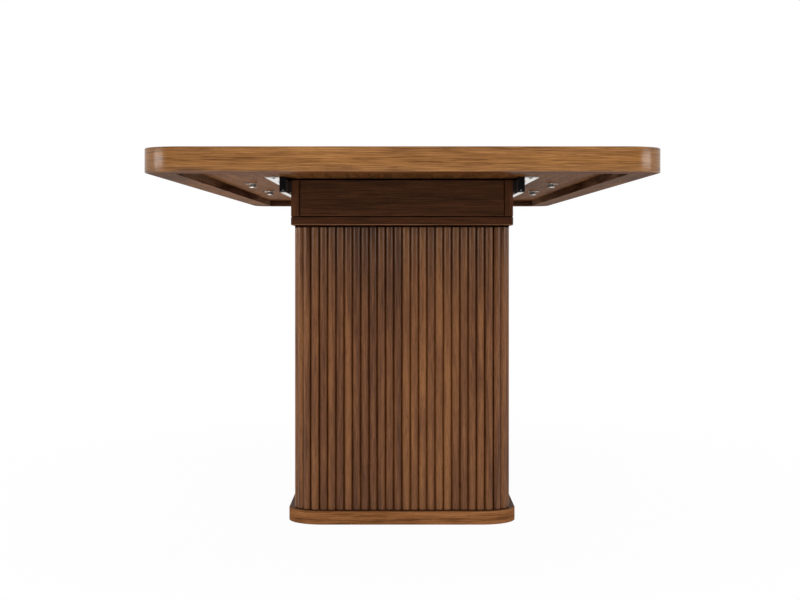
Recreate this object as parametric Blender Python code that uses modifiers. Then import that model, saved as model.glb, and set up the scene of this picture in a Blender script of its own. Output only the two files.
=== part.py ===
"""Extending dining table with a slatted pedestal, built as an assembly of separate pieces.

Units are metres. The origin is on the floor under the middle of the table, +Z is up, +Y runs along
the table's length and +X across its width. The table is modelled closed, with the seam at Y = 0.
"""

from math import asin, atan2, cos, pi, sin

import bmesh
import bpy
from mathutils import Matrix, Vector

# Table top
TABLE_LENGTH = 2.200
TABLE_WIDTH = 0.900
TABLE_HEIGHT = 0.760
TOP_CORNER_RADIUS = 0.070
TOP_EDGE_DEPTH = 0.043
TOP_PANEL_THICKNESS = 0.015
SUB_PANEL_THICKNESS = 0.012
EDGE_BAND_THICKNESS = 0.002
SIDE_BORDER_WIDTH = 0.050
END_BORDER_MARGIN = 0.010
SEAM_GAP = 0.0006

# Bolts with a clamping tab that hold the backing panel under the top
BOLT_FROM_SEAM = 0.240
BOLT_FROM_BRACKET = 0.055
BOLT_RADIUS = 0.004
BOLT_NECK_RADIUS = 0.0066
BOLT_HEAD_RADIUS = 0.0093
BOLT_HEAD_HEIGHT = 0.008
BOLT_HEAD_RIM = 0.0046
BOLT_HEAD_EASE = 0.002
BOLT_EMBED = 0.009
TAB_RADIUS = 0.0098
TAB_TIP_RADIUS = 0.006
TAB_REACH = 0.0177
TAB_THICKNESS = 0.0016

# Dowels that line the two halves up at the seam
DOWEL_RADIUS = 0.004
DOWEL_LENGTH = 0.030
DOWEL_TIP = 0.0015
DOWEL_SPACING = 0.600

# Apron box, cap plate and the boards they are made of
BOX_WIDTH = 0.465
BOX_LENGTH = 0.980
BOX_DEPTH = 0.077
BOX_RUNNING_GAP = 0.003
BOARD = 0.018

# Pedestal and plinth
COLUMN_WIDTH = 0.465
COLUMN_LENGTH = 0.879
COLUMN_RADIUS = 0.0555
SLAT_PITCH = 0.0177
SLAT_RISE = 0.007
SLAT_GAP = 0.0008
SLAT_BACKING = 0.003
PLINTH_LIP = 0.0112
PLINTH_RADIUS = 0.075
PLINTH_THICKNESS = 0.0284
GLIDE_RADIUS = 0.018
GLIDE_THICKNESS = 0.0030
GLIDE_STANDOUT = 0.0006
GLIDE_INSET = 0.060

# Extension leaf that is stored folded in the box
LEAF_THICKNESS = 0.026
LEAF_SIDE_ROOM = 0.0145
LEAF_FOLD_GAP = 0.003
HINGE_FLAP_WIDTH = 0.025
HINGE_LENGTH = 0.050
HINGE_BARREL_RADIUS = 0.0035
HINGE_INSET = 0.080

# Telescopic slides
SLIDE_DEPTH = 0.0155
SLIDE_DROP = 0.0037
SLIDE_OVERHANG = 0.085
SLIDE_SEAM_INSET = 0.020
RAIL_HEIGHT = 0.026
RAIL_SHEET = 0.0015
RUNNING_FIT = 0.0005
FIXED_FLANGE_SETBACK = 0.004
MID_FLANGE_SETBACK = 0.0022

# Zinc brackets that carry the runner rails
BRACKET_SHEET = 0.002
BRACKET_FLANGE_WIDTH = 0.030
BRACKET_LIP_ROOM = 0.004
BRACKET_LIP_GAP = 0.001

# Fits, and the number of flat faces that stand for round ones
JOINT_GAP = 0.0003
WELD_DISTANCE = 1e-6
MILLIMETRES = 1000
CORNER_STEPS = 12
SLAT_STEPS = 6
ROUND_FACES = 16
SHARP_ANGLE = pi / 5

# Heights that follow from the sizes above
PANEL_BOTTOM_Z = TABLE_HEIGHT - TOP_PANEL_THICKNESS
UNDERSIDE_Z = PANEL_BOTTOM_Z - JOINT_GAP - SUB_PANEL_THICKNESS
EDGE_BOTTOM_Z = TABLE_HEIGHT - TOP_EDGE_DEPTH
BOX_TOP_Z = UNDERSIDE_Z - BOX_RUNNING_GAP
BOX_BOTTOM_Z = BOX_TOP_Z - BOX_DEPTH
CAP_TOP_Z = BOX_BOTTOM_Z - JOINT_GAP
CAP_BOTTOM_Z = CAP_TOP_Z - BOARD
PLINTH_BOTTOM_Z = GLIDE_STANDOUT
PLINTH_TOP_Z = PLINTH_BOTTOM_Z + PLINTH_THICKNESS
COLUMN_BOTTOM_Z = PLINTH_TOP_Z + JOINT_GAP
COLUMN_TOP_Z = CAP_BOTTOM_Z - JOINT_GAP
RAIL_TOP_Z = UNDERSIDE_Z - SLIDE_DROP
RAIL_MIDDLE_Z = RAIL_TOP_Z - RAIL_HEIGHT / 2

# Places across the slide, measured from the box's side
BOX_FACE_X = BOX_WIDTH / 2
FIXED_WEB_X = BOX_FACE_X + JOINT_GAP
MID_WEB_X = FIXED_WEB_X + RAIL_SHEET + RUNNING_FIT
RUNNER_TIP_X = MID_WEB_X + RAIL_SHEET + RUNNING_FIT
BRACKET_WEB_X = BOX_FACE_X + SLIDE_DEPTH
BRACKET_FLANGE_X = BRACKET_WEB_X + BRACKET_SHEET + BRACKET_FLANGE_WIDTH
SLIDE_END_Y = BOX_LENGTH / 2 + SLIDE_OVERHANG

# Inner edges of the border strips under the top
BORDER_X = TABLE_WIDTH / 2 - SIDE_BORDER_WIDTH
BORDER_END_Y = TABLE_LENGTH / 2 - TOP_CORNER_RADIUS - END_BORDER_MARGIN

# Carcass faces behind the slats
CARCASS_X = COLUMN_WIDTH / 2 - SLAT_RISE - SLAT_BACKING - JOINT_GAP
CARCASS_Y = COLUMN_LENGTH / 2 - SLAT_RISE - SLAT_BACKING - JOINT_GAP
CORNER_X = COLUMN_WIDTH / 2 - COLUMN_RADIUS
CORNER_Y = COLUMN_LENGTH / 2 - COLUMN_RADIUS

SIDES = {"left": -1, "right": 1}
ENDS = {"front": -1, "rear": 1}
QUARTERS = [(1, 1), (-1, 1), (-1, -1), (1, -1)]
UP = Vector((0, 0, 1))


# Scene and materials

for old_object in list(bpy.data.objects):
    bpy.data.objects.remove(old_object)

table = bpy.data.collections.new("extending_dining_table")
bpy.context.scene.collection.children.link(table)
tools = bpy.data.collections.new("tools")
bpy.context.scene.collection.children.link(tools)


def finish(name, colour, roughness, metallic=0.0):
    """Make a material from a linear colour, a roughness and a metallic value."""
    material = bpy.data.materials.new(name)
    material.use_nodes = True
    shader = material.node_tree.nodes["Principled BSDF"]
    shader.inputs["Base Color"].default_value = (*colour, 1.0)
    shader.inputs["Roughness"].default_value = roughness
    shader.inputs["Metallic"].default_value = metallic
    return material


TOP_WALNUT = finish("top_walnut", (0.26, 0.12, 0.05), 0.45)
UNDERSIDE_WALNUT = finish("underside_walnut", (0.18, 0.10, 0.06), 0.6)
DARK_WALNUT = finish("dark_walnut", (0.045, 0.018, 0.009), 0.5)
SLAT_WALNUT = finish("slat_walnut", (0.17, 0.075, 0.035), 0.5)
PLINTH_WALNUT = finish("plinth_walnut", (0.20, 0.09, 0.035), 0.5)
FIBREBOARD = finish("fibreboard", (0.30, 0.20, 0.11), 0.8)
ZINC_STEEL = finish("zinc_steel", (0.72, 0.70, 0.67), 0.3, 1.0)
BLACK_STEEL = finish("black_steel", (0.006, 0.006, 0.006), 0.4, 0.0)
BEECH = finish("beech", (0.55, 0.34, 0.17), 0.6)
BLACK_PLASTIC = finish("black_plastic", (0.01, 0.01, 0.01), 0.55)
BRASS = finish("brass", (0.60, 0.40, 0.13), 0.35, 1.0)


# Shapes

def add_piece(name, mesh, material, place=(0, 0, 0), carrier=None):
    """Make a mesh into a named piece at a place, carried by an empty if one is given."""
    mesh.name = name
    mesh.materials.append(material)
    piece = bpy.data.objects.new(name, mesh)
    piece.location = Vector(place)
    if carrier is not None:
        piece.parent = carrier
        piece.location -= carrier.location
    table.objects.link(piece)
    return piece


def add_carrier(name, place):
    """Make an empty on the axis that a moving group slides along."""
    carrier = bpy.data.objects.new(name, None)
    carrier.location = place
    table.objects.link(carrier)
    return carrier


def mesh_from(shape):
    """Close a bmesh off as a mesh with its faces pointing out and its round faces smooth."""
    bmesh.ops.remove_doubles(shape, verts=shape.verts, dist=WELD_DISTANCE)
    bmesh.ops.recalc_face_normals(shape, faces=shape.faces)
    mesh = bpy.data.meshes.new("shape")
    shape.to_mesh(mesh)
    shape.free()
    mesh.shade_smooth()
    mesh.set_sharp_from_angle(angle=SHARP_ANGLE)
    return mesh


def add_board(name, low, high, material, carrier=None):
    """Make a board that fills the space between two opposite corners."""
    low, high = Vector(low), Vector(high)
    shape = bmesh.new()
    bmesh.ops.create_cube(shape, size=1.0)
    bmesh.ops.scale(shape, vec=high - low, verts=shape.verts)
    return add_piece(name, mesh_from(shape), material, (low + high) / 2, carrier)


def outline_mesh(points, thickness):
    """Extrude a closed flat outline evenly about the XY plane.

    The outline is filled in millimetres, because the fill merges details near 0.03 of a unit.
    """
    curve = bpy.data.curves.new("outline", "CURVE")
    curve.dimensions = "2D"
    curve.fill_mode = "BOTH"
    curve.extrude = thickness / 2 * MILLIMETRES
    spline = curve.splines.new("POLY")
    spline.points.add(len(points) - 1)
    for point, (x, y) in zip(spline.points, points):
        point.co = (x * MILLIMETRES, y * MILLIMETRES, 0, 1)
    spline.use_cyclic_u = True
    flat = bpy.data.objects.new("outline", curve)
    bpy.context.scene.collection.objects.link(flat)
    view = bpy.context.evaluated_depsgraph_get()
    mesh = bpy.data.meshes.new_from_object(flat.evaluated_get(view))
    bpy.data.objects.remove(flat)
    mesh.transform(Matrix.Scale(1 / MILLIMETRES, 4))
    shape = bmesh.new()
    shape.from_mesh(mesh)
    return mesh_from(shape)


def section_mesh(points, low_y, high_y):
    """Extrude an (x, z) section along Y between two places."""
    mesh = outline_mesh(points, high_y - low_y)
    mesh.transform(Matrix.Translation((0, (low_y + high_y) / 2, 0)) @ Matrix.Rotation(pi / 2, 4, "X"))
    return mesh


def turned_mesh(profile):
    """Spin a (radius, height) profile that starts and ends on the Z axis."""
    shape = bmesh.new()
    points = [shape.verts.new((radius, 0, height)) for radius, height in profile]
    lines = [shape.edges.new(pair) for pair in zip(points, points[1:])]
    bmesh.ops.spin(
        shape, geom=points + lines, axis=UP, cent=(0, 0, 0), angle=2 * pi, steps=ROUND_FACES, use_merge=True
    )
    return mesh_from(shape)


def disc_mesh(radius, thickness):
    """Make a round disc that stands on the XY plane."""
    shape = bmesh.new()
    bmesh.ops.create_cone(
        shape, cap_ends=True, segments=ROUND_FACES, radius1=radius, radius2=radius, depth=thickness
    )
    bmesh.ops.translate(shape, vec=(0, 0, thickness / 2), verts=shape.verts)
    return mesh_from(shape)


def arc_points(centre, radius, start, end, steps):
    """Give the points of an arc, from one angle to another, ends included."""
    angles = [start + (end - start) * step / steps for step in range(steps + 1)]
    return [(centre[0] + radius * cos(angle), centre[1] + radius * sin(angle)) for angle in angles]


def rounded_rectangle(width, length, radius):
    """Give the outline of a rectangle with round corners, centred on the origin."""
    points = []
    for quarter, (side, end) in enumerate(QUARTERS):
        centre = (side * (width / 2 - radius), end * (length / 2 - radius))
        start = quarter * pi / 2
        points += arc_points(centre, radius, start, start + pi / 2, CORNER_STEPS)
    return points


def add_tool(name, mesh):
    """Make a mesh into a hidden tool that cuts pieces or is joined to one."""
    tool = bpy.data.objects.new(name, mesh)
    tool.hide_render = True
    tool.display_type = "WIRE"
    tools.objects.link(tool)
    return tool


def apply_tool(piece, tool, operation):
    """Cut a piece by a tool, or join the tool to it."""
    boolean = piece.modifiers.new(tool.name, "BOOLEAN")
    boolean.operation = operation
    boolean.object = tool


def bore(pieces, name, radius, depth, matrix):
    """Bore a round hole, along the Z axis of a matrix, into some pieces."""
    tool = add_tool(name, disc_mesh(radius, depth))
    tool.matrix_world = matrix
    for piece in pieces:
        apply_tool(piece, tool, "DIFFERENCE")


# Plinth and pedestal

def slat_points(back_middle, outward, width):
    """Give the half-round profile of one slat, from edge to edge of its flat back."""
    along = Vector((-outward.y, outward.x))
    radius = (width * width / 4 + SLAT_RISE * SLAT_RISE) / (2 * SLAT_RISE)
    sink = radius - SLAT_RISE
    half_angle = atan2(width / 2, sink)
    points = []
    for step in range(SLAT_STEPS + 1):
        angle = half_angle * (2 * step / SLAT_STEPS - 1)
        point = back_middle + along * radius * sin(angle) + outward * (radius * cos(angle) - sink)
        points.append(tuple(point))
    return points


def add_fluted_panel(name, flat_length, reach, turn):
    """Make a flat stretch of slats on its backing, facing -Y before it is turned about Z."""
    count = round(flat_length / SLAT_PITCH)
    pitch = flat_length / count
    half_length = flat_length / 2 - JOINT_GAP
    back_y = SLAT_RISE - reach
    low = Vector((-half_length, back_y, COLUMN_BOTTOM_Z))
    high = Vector((half_length, back_y + SLAT_BACKING, COLUMN_TOP_Z))
    panel = add_board(name, low, high, SLAT_WALNUT)
    panel.matrix_world = Matrix.Rotation(turn, 4, "Z") @ Matrix.Translation((low + high) / 2)

    width = pitch - SLAT_GAP
    root = SLAT_BACKING / 2
    outline = slat_points(Vector((0, 0)), Vector((0, -1)), width) + [(width / 2, root), (-width / 2, root)]
    slat_length = high.z - low.z - 2 * JOINT_GAP
    slat = add_tool(name + "_slat", outline_mesh(outline, slat_length))
    slat.parent = panel
    slat.location = (-pitch * (count - 1) / 2, -SLAT_BACKING / 2, 0)
    row = slat.modifiers.new("row", "ARRAY")
    row.count = count
    row.use_relative_offset = False
    row.use_constant_offset = True
    row.constant_offset_displace = (pitch, 0, 0)
    apply_tool(panel, slat, "UNION")


def fluted_corner_outline(quarter):
    """Give the outline of a corner post: slats round its outside, a plain arc inside."""
    side, end = QUARTERS[quarter]
    centre = Vector((side * CORNER_X, end * CORNER_Y))
    start = quarter * pi / 2
    back_radius = COLUMN_RADIUS - SLAT_RISE
    count = round(back_radius * pi / 2 / SLAT_PITCH)
    turn = pi / 2 / count
    width = 2 * back_radius * sin(turn / 2) - SLAT_GAP
    points = []
    for index in range(count):
        angle = start + (index + 0.5) * turn
        outward = Vector((cos(angle), sin(angle)))
        points += slat_points(centre + outward * back_radius, outward, width)
    inner_radius = back_radius - SLAT_BACKING - JOINT_GAP - BOARD
    return points + arc_points(centre, inner_radius, start + pi / 2, start, CORNER_STEPS)


def build_plinth():
    """Make the plinth, and the glides let into it that it stands on."""
    width = COLUMN_WIDTH + 2 * PLINTH_LIP
    length = COLUMN_LENGTH + 2 * PLINTH_LIP
    outline = rounded_rectangle(width, length, PLINTH_RADIUS)
    middle = (0, 0, PLINTH_BOTTOM_Z + PLINTH_THICKNESS / 2)
    plinth = add_piece("plinth", outline_mesh(outline, PLINTH_THICKNESS), PLINTH_WALNUT, middle)
    for end_name, end in ENDS.items():
        for side_name, side in SIDES.items():
            name = f"glide_{end_name}_{side_name}"
            place = (side * (width / 2 - GLIDE_INSET), end * (length / 2 - GLIDE_INSET), 0)
            add_piece(name, disc_mesh(GLIDE_RADIUS, GLIDE_THICKNESS), BLACK_PLASTIC, place)
            radius, depth = GLIDE_RADIUS + JOINT_GAP, GLIDE_THICKNESS + JOINT_GAP
            bore([plinth], name + "_pocket", radius, depth, Matrix.Translation(place))


def build_pedestal():
    """Make the carcass of the pedestal and the slats that cover it."""
    height = COLUMN_TOP_Z - COLUMN_BOTTOM_Z
    middle = (0, 0, (COLUMN_TOP_Z + COLUMN_BOTTOM_Z) / 2)
    flat_x = CORNER_X - JOINT_GAP
    flat_y = CORNER_Y - JOINT_GAP
    for name, side in SIDES.items():
        near, far = sorted((side * CARCASS_X, side * (CARCASS_X - BOARD)))
        low = (near, -flat_y, COLUMN_BOTTOM_Z)
        add_board("carcass_" + name, low, (far, flat_y, COLUMN_TOP_Z), FIBREBOARD)
        add_fluted_panel("slats_" + name, 2 * CORNER_Y, COLUMN_WIDTH / 2, side * pi / 2)
    for name, end in ENDS.items():
        near, far = sorted((end * CARCASS_Y, end * (CARCASS_Y - BOARD)))
        low = (-flat_x, near, COLUMN_BOTTOM_Z)
        add_board("carcass_" + name, low, (flat_x, far, COLUMN_TOP_Z), FIBREBOARD)
        add_fluted_panel("slats_" + name, 2 * CORNER_X, COLUMN_LENGTH / 2, (end + 1) * pi / 2)
    for quarter, (side, end) in enumerate(QUARTERS):
        name = "corner_slats_" + ("rear_" if end > 0 else "front_") + ("right" if side > 0 else "left")
        corner = outline_mesh(fluted_corner_outline(quarter), height)
        add_piece(name, corner, SLAT_WALNUT, middle)
    divider_x = CARCASS_X - BOARD - JOINT_GAP
    low = (-divider_x, -BOARD / 2, COLUMN_BOTTOM_Z)
    add_board("carcass_divider", low, (divider_x, BOARD / 2, COLUMN_TOP_Z), FIBREBOARD)


# Apron box, cap plate and stored leaf

def build_box():
    """Make the cap plate and the four boards of the box on it."""
    half_width, half_length = BOX_WIDTH / 2, BOX_LENGTH / 2
    low = (-half_width, -half_length, CAP_BOTTOM_Z)
    add_board("cap_plate", low, (half_width, half_length, CAP_TOP_Z), DARK_WALNUT)
    for name, side in SIDES.items():
        near, far = sorted((side * half_width, side * (half_width - BOARD)))
        low = (near, -half_length, BOX_BOTTOM_Z)
        add_board("box_side_" + name, low, (far, half_length, BOX_TOP_Z), DARK_WALNUT)
    end_x = half_width - BOARD - JOINT_GAP
    for name, end in ENDS.items():
        near, far = sorted((end * half_length, end * (half_length - BOARD)))
        low = (-end_x, near, BOX_BOTTOM_Z)
        add_board("box_end_" + name, low, (end_x, far, BOX_TOP_Z), DARK_WALNUT)


def hinge_outline():
    """Give the (y, z) section of a closed hinge: its two flaps together, and its barrel."""
    half_thickness = LEAF_FOLD_GAP / 2 - JOINT_GAP
    neck = asin(half_thickness / HINGE_BARREL_RADIUS)
    barrel_y = JOINT_GAP + HINGE_BARREL_RADIUS
    barrel = arc_points((barrel_y, 0), HINGE_BARREL_RADIUS, neck - pi, pi - neck, ROUND_FACES)
    return [(-HINGE_FLAP_WIDTH, -half_thickness)] + barrel + [(-HINGE_FLAP_WIDTH, half_thickness)]


def build_leaf():
    """Make the extension leaf, folded in the box on the cap plate, and its hinges."""
    half_x = BOX_WIDTH / 2 - BOARD - LEAF_SIDE_ROOM
    half_y = TABLE_WIDTH / 4
    lower_z = CAP_TOP_Z + JOINT_GAP
    fold_z = lower_z + LEAF_THICKNESS
    upper_z = fold_z + LEAF_FOLD_GAP
    add_board("leaf_panel_lower", (-half_x, -half_y, lower_z), (half_x, half_y, fold_z), TOP_WALNUT)
    high = (half_x, half_y, upper_z + LEAF_THICKNESS)
    add_board("leaf_panel_upper", (-half_x, -half_y, upper_z), high, TOP_WALNUT)
    for name, side in SIDES.items():
        hinge = outline_mesh(hinge_outline(), HINGE_LENGTH)
        hinge.transform(Matrix(((0, 0, 1), (1, 0, 0), (0, 1, 0))).to_4x4())
        place = (side * (half_x - HINGE_INSET), half_y, (fold_z + upper_z) / 2)
        add_piece("leaf_hinge_" + name, hinge, BRASS, place)


# Telescopic slides

def channel_points(web_x, tip_x, half_height, side):
    """Give the C section of a rail: the back of its web, and the tips of its two flanges."""
    inner_x = web_x + (RAIL_SHEET if tip_x > web_x else -RAIL_SHEET)
    inner = half_height - RAIL_SHEET
    points = [
        (web_x, -half_height),
        (tip_x, -half_height),
        (tip_x, -inner),
        (inner_x, -inner),
        (inner_x, inner),
        (tip_x, inner),
        (tip_x, half_height),
        (web_x, half_height),
    ]
    return [(side * x, RAIL_MIDDLE_Z + z) for x, z in points]


def nested_half_height(level):
    """Give half the height of a rail nested a number of levels inside the fixed rail."""
    return RAIL_HEIGHT / 2 - level * (RAIL_SHEET + RUNNING_FIT)


def bracket_points(side):
    """Give the Z section of a bracket: flange under the top, web, and lip under the rails."""
    top_z = UNDERSIDE_Z - JOINT_GAP
    lip_top_z = RAIL_MIDDLE_Z - RAIL_HEIGHT / 2 - BRACKET_LIP_GAP
    lip_x = BOX_FACE_X + BRACKET_LIP_ROOM
    outer_x = BRACKET_WEB_X + BRACKET_SHEET
    points = [
        (BRACKET_WEB_X, top_z),
        (BRACKET_FLANGE_X, top_z),
        (BRACKET_FLANGE_X, top_z - BRACKET_SHEET),
        (outer_x, top_z - BRACKET_SHEET),
        (outer_x, lip_top_z - BRACKET_SHEET),
        (lip_x, lip_top_z - BRACKET_SHEET),
        (lip_x, lip_top_z),
        (BRACKET_WEB_X, lip_top_z),
    ]
    return [(side * x, z) for x, z in points]


def slide_ends(end):
    """Give the two ends along Y of the slides under one half."""
    return sorted((end * SLIDE_SEAM_INSET, end * SLIDE_END_Y))


def build_slides():
    """Make the rails fixed to the box, and the middle rails that run in them for each half."""
    for name, side in SIDES.items():
        tip_x = BRACKET_WEB_X - FIXED_FLANGE_SETBACK
        section = channel_points(FIXED_WEB_X, tip_x, nested_half_height(0), side)
        rail = section_mesh(section, -BOX_LENGTH / 2, BOX_LENGTH / 2)
        add_piece("fixed_rail_" + name, rail, BLACK_STEEL)
    for end_name, end in ENDS.items():
        carrier = add_carrier(end_name + "_mid_slide", (0, end * SLIDE_END_Y, RAIL_MIDDLE_Z))
        for name, side in SIDES.items():
            tip_x = BRACKET_WEB_X - MID_FLANGE_SETBACK
            section = channel_points(MID_WEB_X, tip_x, nested_half_height(1), side)
            rail = section_mesh(section, *slide_ends(end))
            add_piece(f"{end_name}_mid_rail_{name}", rail, BLACK_STEEL, carrier=carrier)


# Halves of the top

def half_outline(end, inset):
    """Give the outline of one half of the top, drawn in by an inset from its outside edge."""
    half_width = TABLE_WIDTH / 2 - inset
    radius = TOP_CORNER_RADIUS - inset
    corner_x = half_width - radius
    corner_y = TABLE_LENGTH / 2 - inset - radius
    points = [(half_width, SEAM_GAP / 2)]
    points += arc_points((corner_x, corner_y), radius, 0, pi / 2, CORNER_STEPS)
    points += arc_points((-corner_x, corner_y), radius, pi / 2, pi, CORNER_STEPS)
    points.append((-half_width, SEAM_GAP / 2))
    return [(x, end * y) for x, y in points]


def end_border_outline(end, inset):
    """Give the outline of the border strip across the end of one half, round the corners."""
    outside = half_outline(end, inset)
    edge_x = TABLE_WIDTH / 2 - inset
    return [(edge_x, end * BORDER_END_Y)] + outside[1:-1] + [(-edge_x, end * BORDER_END_Y)]


def build_half(end_name):
    """Make one half of the top, with its bolts, brackets and runner rails, and give its panel."""
    end = ENDS[end_name]
    carrier = add_carrier(end_name + "_half_slide", (0, end * SLIDE_END_Y, RAIL_MIDDLE_Z))

    def add_outline(name, outline, low_z, high_z, material):
        mesh = outline_mesh(outline, high_z - low_z)
        return add_piece(end_name + name, mesh, material, (0, 0, (low_z + high_z) / 2), carrier)

    inset = EDGE_BAND_THICKNESS + JOINT_GAP
    panel = add_outline("_top_panel", half_outline(end, inset), PANEL_BOTTOM_Z, TABLE_HEIGHT, TOP_WALNUT)
    band = half_outline(end, 0) + half_outline(end, EDGE_BAND_THICKNESS)[::-1]
    add_outline("_edge_band", band, EDGE_BOTTOM_Z, TABLE_HEIGHT, TOP_WALNUT)
    under_panel_z = PANEL_BOTTOM_Z - JOINT_GAP
    border = end_border_outline(end, inset)
    add_outline("_border_end", border, EDGE_BOTTOM_Z, under_panel_z, UNDERSIDE_WALNUT)

    low_y, high_y = sorted((end * SEAM_GAP / 2, end * (BORDER_END_Y - JOINT_GAP)))
    for name, side in SIDES.items():
        near_x, far_x = sorted((side * BORDER_X, side * (TABLE_WIDTH / 2 - inset)))
        low = (near_x, low_y, EDGE_BOTTOM_Z)
        high = (far_x, high_y, under_panel_z)
        add_board(f"{end_name}_border_{name}", low, high, UNDERSIDE_WALNUT, carrier)
    low = (JOINT_GAP - BORDER_X, low_y, UNDERSIDE_Z)
    high = (BORDER_X - JOINT_GAP, high_y, under_panel_z)
    sub_panel = add_board(end_name + "_sub_panel", low, high, UNDERSIDE_WALNUT, carrier)

    add_bolts(end_name, carrier, [sub_panel, panel])
    add_runners(end_name, carrier)
    return panel


def tab_outline(side):
    """Give the outline of a bolt's tab: wide round the bolt, and narrower at its outer end."""
    tip_x = TAB_REACH - TAB_TIP_RADIUS
    taper = asin((TAB_RADIUS - TAB_TIP_RADIUS) / tip_x)
    turn = pi / 2 - taper
    points = arc_points((0, 0), TAB_RADIUS, turn, 2 * pi - turn, ROUND_FACES)
    points += arc_points((tip_x, 0), TAB_TIP_RADIUS, -turn, turn, ROUND_FACES // 2)
    return [(side * x, y) for x, y in points]


def add_bolts(end_name, carrier, panels):
    """Make the bolts with their tabs under one half, and bore the panels that they clamp."""
    seat_z = UNDERSIDE_Z - JOINT_GAP
    shank_length = PANEL_BOTTOM_Z + BOLT_EMBED - seat_z
    neck_z = -TAB_THICKNESS / 2
    head_bottom = -TAB_THICKNESS - BOLT_HEAD_HEIGHT
    rim_z = head_bottom + BOLT_HEAD_RIM
    profile = [
        (0, head_bottom),
        (BOLT_HEAD_RADIUS - BOLT_HEAD_EASE, head_bottom),
        (BOLT_HEAD_RADIUS, head_bottom + BOLT_HEAD_EASE),
        (BOLT_HEAD_RADIUS, rim_z),
        (BOLT_NECK_RADIUS, rim_z),
        (BOLT_NECK_RADIUS, neck_z),
        (BOLT_RADIUS, neck_z),
        (BOLT_RADIUS, shank_length),
        (0, shank_length),
    ]
    bolt_x = BRACKET_FLANGE_X + BOLT_FROM_BRACKET
    for name, side in SIDES.items():
        place = Vector((side * bolt_x, ENDS[end_name] * BOLT_FROM_SEAM, seat_z))
        bolt_name = f"{end_name}_bolt_{name}"
        bolt = add_piece(bolt_name, turned_mesh(profile), ZINC_STEEL, place, carrier)
        tab = add_tool(bolt_name + "_tab", outline_mesh(tab_outline(side), TAB_THICKNESS))
        tab.location = place + UP * neck_z
        apply_tool(bolt, tab, "UNION")
        hole_depth = shank_length + JOINT_GAP
        bore(panels, bolt_name + "_bore", BOLT_RADIUS + JOINT_GAP, hole_depth, Matrix.Translation(place))


def add_runners(end_name, carrier):
    """Make the zinc brackets under one half, and the runner rails that they carry."""
    ends_y = slide_ends(ENDS[end_name])
    for name, side in SIDES.items():
        bracket = section_mesh(bracket_points(side), *ends_y)
        add_piece(f"{end_name}_bracket_{name}", bracket, ZINC_STEEL, carrier=carrier)
        section = channel_points(BRACKET_WEB_X - JOINT_GAP, RUNNER_TIP_X, nested_half_height(2), side)
        rail = section_mesh(section, *ends_y)
        add_piece(f"{end_name}_runner_rail_{name}", rail, BLACK_STEEL, carrier=carrier)


def add_seam_dowels(carrier, panels):
    """Make the dowels fixed in the front half, and bore both halves for them."""
    tip_radius = DOWEL_RADIUS - DOWEL_TIP
    profile = [
        (0, 0),
        (tip_radius, 0),
        (DOWEL_RADIUS, DOWEL_TIP),
        (DOWEL_RADIUS, DOWEL_LENGTH - DOWEL_TIP),
        (tip_radius, DOWEL_LENGTH),
        (0, DOWEL_LENGTH),
    ]
    along_y = Matrix.Rotation(-pi / 2, 4, "X")
    dowel_z = TABLE_HEIGHT - TOP_PANEL_THICKNESS / 2
    for name, side in SIDES.items():
        dowel = turned_mesh(profile)
        dowel.transform(along_y @ Matrix.Translation((0, 0, -DOWEL_LENGTH / 2)))
        place = Vector((side * DOWEL_SPACING / 2, 0, dowel_z))
        add_piece("seam_dowel_" + name, dowel, BEECH, place, carrier)
        hole_depth = DOWEL_LENGTH + 2 * JOINT_GAP
        start = Matrix.Translation(place) @ along_y @ Matrix.Translation((0, 0, -hole_depth / 2))
        bore(panels, f"seam_dowel_{name}_bore", DOWEL_RADIUS + JOINT_GAP, hole_depth, start)


# Assembly

build_plinth()
build_pedestal()
build_box()
build_leaf()
build_slides()
top_panels = [build_half(half_name) for half_name in ENDS]
add_seam_dowels(bpy.data.objects["front_half_slide"], top_panels)
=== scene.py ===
"""Looks of the extending dining table: veneers, eased edges, slats, slides, fasteners and studio.

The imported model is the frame, and every piece here rides on one of its bodies. Lengths are in metres,
places come from the frame, and sizes that the frame doesn't give are fields of the sub-assemblies.
"""

import logging
from collections.abc import Callable
from dataclasses import dataclass, replace
from enum import Enum
from functools import partial
from itertools import product
from math import asin, atan2, cos, pi, radians, sin

import bmesh
import bpy
from bmesh.types import BMesh
from bpy.types import Material, MeshPolygon, Node, NodeSocket, NodeTree, Object
from mathutils import Matrix, Vector


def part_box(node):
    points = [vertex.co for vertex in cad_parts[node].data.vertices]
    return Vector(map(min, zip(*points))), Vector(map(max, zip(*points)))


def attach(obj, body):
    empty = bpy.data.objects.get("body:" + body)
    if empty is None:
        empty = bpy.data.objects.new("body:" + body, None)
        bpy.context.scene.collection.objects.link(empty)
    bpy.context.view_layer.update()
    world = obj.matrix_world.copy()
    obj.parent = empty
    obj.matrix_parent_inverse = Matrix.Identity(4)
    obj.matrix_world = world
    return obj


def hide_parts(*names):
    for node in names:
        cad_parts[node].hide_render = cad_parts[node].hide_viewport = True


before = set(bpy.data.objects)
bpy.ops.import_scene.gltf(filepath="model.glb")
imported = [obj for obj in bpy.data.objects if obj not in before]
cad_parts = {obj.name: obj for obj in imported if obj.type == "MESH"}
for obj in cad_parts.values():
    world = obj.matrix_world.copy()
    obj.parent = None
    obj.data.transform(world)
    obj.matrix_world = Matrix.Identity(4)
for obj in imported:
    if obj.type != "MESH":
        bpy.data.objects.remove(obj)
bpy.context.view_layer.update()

MM_PER_M = 1000.0
IMAGE_WIDTH = 800
IMAGE_HEIGHT = 600

# Clearance between pieces that are made here side by side.
JOINT_GAP = 0.0003
# Sheet of the zinc brackets, which their screws sit on.
BRACKET_SHEET = 0.002
# Straight steps in a round corner of a board, in an eased edge and in a circle.
CORNER_STEPS = 32
EASE_STEPS = 4
ROUND_STEPS = 48
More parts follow.
